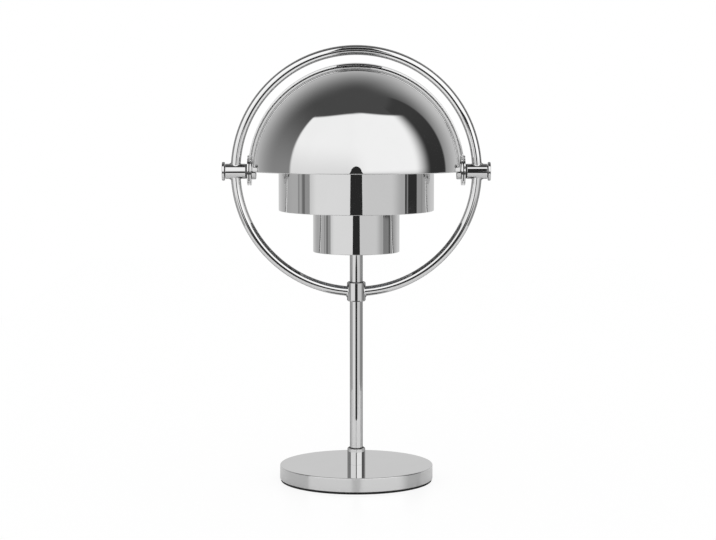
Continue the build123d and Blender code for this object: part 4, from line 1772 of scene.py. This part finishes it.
@dataclass
class Studio:
    """Camera, pale floor and soft surroundings."""

    image_width: int = 716
    focal_pixels: float = 2099.0
    pixel_mm: float = 0.6164
    sensor_width: float = 36.0
    eye_across: float = 1.7
    eye_height: float = 419.82
    look_down: float = 5.616
    floor_half_width: float = 360.0
    floor_front: float = 225.0
    floor_back: float = 1500.0
    paper: PaperSheet = PaperSheet()
    white: str = "#FFFFFF"
    open_level: float = 1.0
    ceiling: float = 0.076
    patches: tuple[Patch, ...] = (
        Patch("side walls", (-400, 400), (-90, 90), (0.28, 0.076), (-5, 60)),
        Patch("left backdrop", (-400, -132), (-90, 90), (0.66, 0.076), (20, 80), (1, 33)),
        Patch("right backdrop", (125, 400), (-90, 90), (0.66, 0.076), (20, 80), (25, 1)),
        Patch.low("left wall foot", (-126, -88), 0.48, (20, 8)),
        Patch.low("left wall gap", (-95.5, -92.5), 0.29, (0.8, 0.8)),
        Patch.low("left flag foot", (-87, -81), 0.17, (1.5, 1)),
        Patch("right flag", (70, 113), (-90, 64), (0.035, 0.052), (0, 60), (3, 2), 4),
        Patch.low("right wall foot", (100.6, 114), 0.34, (0.6, 4)),
        Patch("left panel", (-76, 20), (-90, 67.0), (0.85, 1.085), (-8, 32), (2, 2), 1.6, 21),
        Patch("right panel", (2, 77), (-90, 67.8), (0.70, 1.11), (-3, 4), (14, 12), 1.6, 19),
        Patch.low("left panel fade", (-79, -67), 0.68, (1, 8)),
        Patch.low("left panel foot", (-81.5, -72.4), 0.34, (1, 0.5)),
        Patch.low("right panel fade", (62, 80), 0.46, (11, 1)),
        Patch.low("right gap", (76.6, 100.6), 0.03, (0.4, 0.5)),
        Patch.low("right slit", (79.6, 82.4), 0.24, (0.4, 0.4)),
        Patch("right flag foot", (76.6, 96.8), (-90, -4.18), (0.25, 0.25), (0, 1), (0.5, 0.5), 0.1),
        Patch("right floor in front", (8, 45), (-32, -11), (0.05, 0.05), (0, 1), (2, 6), 1.5),
        Patch("left floor in front", (-45, -8), (-32, -11), (0.05, 0.05), (0, 1), (6, 2), 1.5),
    )
    cards: tuple[Card, ...] = (
        Card("camera_card", 1309, "#2D2D2D", (0, 9000), arch(
            ((380, -400), (380, 0), (222, 20), (188, 138), (125, 265)), 377, 1.14)),
        # Paints a dark reflection across the top of the ring.
        Card("ring_card", 33.5, "#343434", (27, 50), (
            (-20, 272), (27, 272), (21, 284), (17, 298), (15, 310),
            (-14, 310), (-16, 298), (-17, 284)), 13.3),
        # Paints a dark band of reflection on the right pivot's barrel.
        Card("pivot_card", 44, "#2D2D2D", (38.4, 57.6), ((66, 193.6), (84, 193.6), (84, 232), (66, 232))),
    )

    def build_camera(self) -> None:
        """Set the camera as the photograph was taken."""
        data = bpy.data.cameras.new("camera")
        data.sensor_width = self.sensor_width
        data.lens = self.sensor_width * self.focal_pixels / self.image_width
        camera = bpy.data.objects.new("camera", data)
        bpy.context.scene.collection.objects.link(camera)
        unit = self.pixel_mm * MM
        camera.location = (self.eye_across * unit, -self.focal_pixels * unit, self.eye_height * unit)
        camera.rotation_euler = (math.radians(90 - self.look_down), 0, 0)
        bpy.context.scene.camera = camera

    def build_floor(self) -> None:
        """Lay the pale sheet that the lamp stands on."""
        half, front, back = (v * MM for v in (self.floor_half_width, self.floor_front, self.floor_back))
        corners = [(-half, -front, 0), (half, -front, 0), (half, back, 0), (-half, back, 0)]
        mesh = bpy.data.meshes.new("floor_sheet")
        mesh.from_pydata(corners, [], [(0, 1, 2, 3)])
        mesh.materials.append(self.paper.material())
        floor = bpy.data.objects.new("floor", mesh)
        bpy.context.scene.collection.objects.link(floor)
        LOG.info("floor: %s", self.paper.name)

    def build_cards(self) -> None:
        """Stand the dark cards in front of the lamp, where only polished metal sees them."""
        for card in self.cards:
            felt = ReflectionOnlyCard(card.name + "_felt", card.colour, card.seen_from)
            foot = min(z for _, z in card.outline)
            slope = math.tan(math.radians(card.lean))
            points = [(x * MM, ((z - foot) * slope - card.front) * MM, z * MM) for x, z in card.outline]
            mesh = bpy.data.meshes.new(card.name + "_sheet")
            mesh.from_pydata(points, [], [tuple(range(len(points)))])
            mesh.materials.append(felt.material())
            sheet = bpy.data.objects.new(card.name, mesh)
            bpy.context.scene.collection.objects.link(sheet)
            for ray in ("camera", "diffuse", "shadow", "transmission"):
                setattr(sheet, "visible_" + ray, False)
            LOG.info("%s: %s", card.name, felt.name)

    def bearings(self, tree: bpy.types.NodeTree) -> Bearings:
        """Measure where a ray goes.

        Args:
            tree: Node tree of the surroundings.

        Returns:
            The ray's bearings.
        """
        way = add_node(tree, "ShaderNodeTexCoord")
        axes = add_node(tree, "ShaderNodeSeparateXYZ", inputs={"Vector": way.outputs["Generated"]})
        front = add_node(tree, "ShaderNodeMath", {"operation": "MULTIPLY"}, {0: axes.outputs["Y"], 1: -1.0})
        turn = add_node(tree, "ShaderNodeMath", {"operation": "ARCTAN2"}, {
            0: axes.outputs["X"], 1: front.outputs["Value"]})
        across = add_node(tree, "ShaderNodeMath", {"operation": "DEGREES"}, {0: turn.outputs["Value"]})
        height = add_node(tree, "ShaderNodeMath", {"operation": "ARCSINE"}, {0: axes.outputs["Z"]})
        rise = add_node(tree, "ShaderNodeMath", {"operation": "DEGREES"}, {0: height.outputs["Value"]})
        ahead = add_node(tree, "ShaderNodeMath", {"operation": "COSINE"}, {0: turn.outputs["Value"]})
        return Bearings(across.outputs["Value"], rise.outputs["Value"], ahead.outputs["Value"])

    def patch_cover(self, tree: bpy.types.NodeTree, patch: Patch, way: Bearings) -> bpy.types.NodeSocket:
        """Work out how far a ray's way is inside a patch.

        Args:
            tree: Node tree of the surroundings.
            patch: The patch.
            way: Where the ray goes.

        Returns:
            1 inside the patch, 0 outside it, and between them on its soft edges.
        """
        lifted = way.rise
        if patch.drop:
            fall = add_node(tree, "ShaderNodeMath", {"operation": "MULTIPLY_ADD"}, {
                0: way.ahead, 1: -patch.drop, 2: patch.drop})
            lifted = add_node(tree, "ShaderNodeMath", {"operation": "ADD"}, {
                0: way.rise, 1: fall.outputs["Value"]}).outputs["Value"]
        sides = (
            (way.across, patch.across[0], patch.soft_across[0], (0.0, 1.0)),
            (way.across, patch.across[1], patch.soft_across[1], (1.0, 0.0)),
            (lifted, patch.rise[0], patch.soft_rise, (0.0, 1.0)),
            (lifted, patch.rise[1], patch.soft_rise, (1.0, 0.0)),
        )
        cover: bpy.types.NodeSocket | float = 1.0
        for measure, edge, soft, (before, after) in sides:
            step = add_node(tree, "ShaderNodeMapRange", {"interpolation_type": "SMOOTHSTEP"}, {
                "Value": measure, "From Min": edge - soft, "From Max": edge + soft,
                "To Min": before, "To Max": after})
            cover = add_node(tree, "ShaderNodeMath", {"operation": "MULTIPLY"}, {
                0: cover, 1: step.outputs["Result"]}).outputs["Value"]
        return cover

    def build_surroundings(self) -> None:
        """Surround the lamp: white to the camera and matt surfaces, panels and walls to polished metal."""
        world = bpy.data.worlds.new("studio")
        bpy.context.scene.world = world
        world.use_nodes = True
        tree = world.node_tree
        tree.nodes.clear()
        way = self.bearings(tree)
        seen: bpy.types.NodeSocket | float = self.ceiling
        for patch in self.patches:
            level = add_node(tree, "ShaderNodeMapRange", {"interpolation_type": "SMOOTHSTEP"}, {
                "Value": way.rise, "From Min": patch.level_rise[0], "From Max": patch.level_rise[1],
                "To Min": patch.level[0], "To Max": patch.level[1]})
            seen = add_node(tree, "ShaderNodeMix", {"data_type": "FLOAT", "label": patch.name}, {
                SHARE: self.patch_cover(tree, patch, way), NUMBER_A: seen,
                NUMBER_B: level.outputs["Result"]}).outputs[0]
        path = add_node(tree, "ShaderNodeLightPath")
        strength = add_node(tree, "ShaderNodeMix", {"data_type": "FLOAT"}, {
            SHARE: path.outputs["Is Glossy Ray"], NUMBER_A: self.open_level, NUMBER_B: seen})
        light = add_node(tree, "ShaderNodeBackground", inputs={
            "Color": linear(self.white), "Strength": strength.outputs[0]})
        add_node(tree, "ShaderNodeOutputWorld", inputs={"Surface": light.outputs["Background"]})
        LOG.info("surroundings: %d patches", len(self.patches))

    def build(self) -> None:
        """Build the camera, floor, cards and surroundings."""
        self.build_camera()
        self.build_floor()
        self.build_cards()
        self.build_surroundings()
        bpy.context.scene.view_settings.view_transform = "Standard"


def main() -> None:
    """Build the studio and the lamp, one sub-assembly after the other."""
    logging.basicConfig(level=logging.INFO, format="%(name)s: %(message)s")
    Studio().build()
    shop = Workshop()
    rear_shade = TurningShade(
        ShadePlace.REAR, Body.REAR_SHADE, radius=66.6, first_angle=82.5, ear_face=67.05, boss_radius=9.7,
        bevel=30.0)
    front_shade = TurningShade(
        ShadePlace.FRONT, Body.FRONT_SHADE, radius=65.15, first_angle=1.2, ear_face=65.6, boss_radius=8.7)
    for sub_assembly in (WeightedBase(), Stem(), Ring(), rear_shade, front_shade, InnerLamp()):
        sub_assembly.build(shop)


if __name__ == "__main__":
    main()
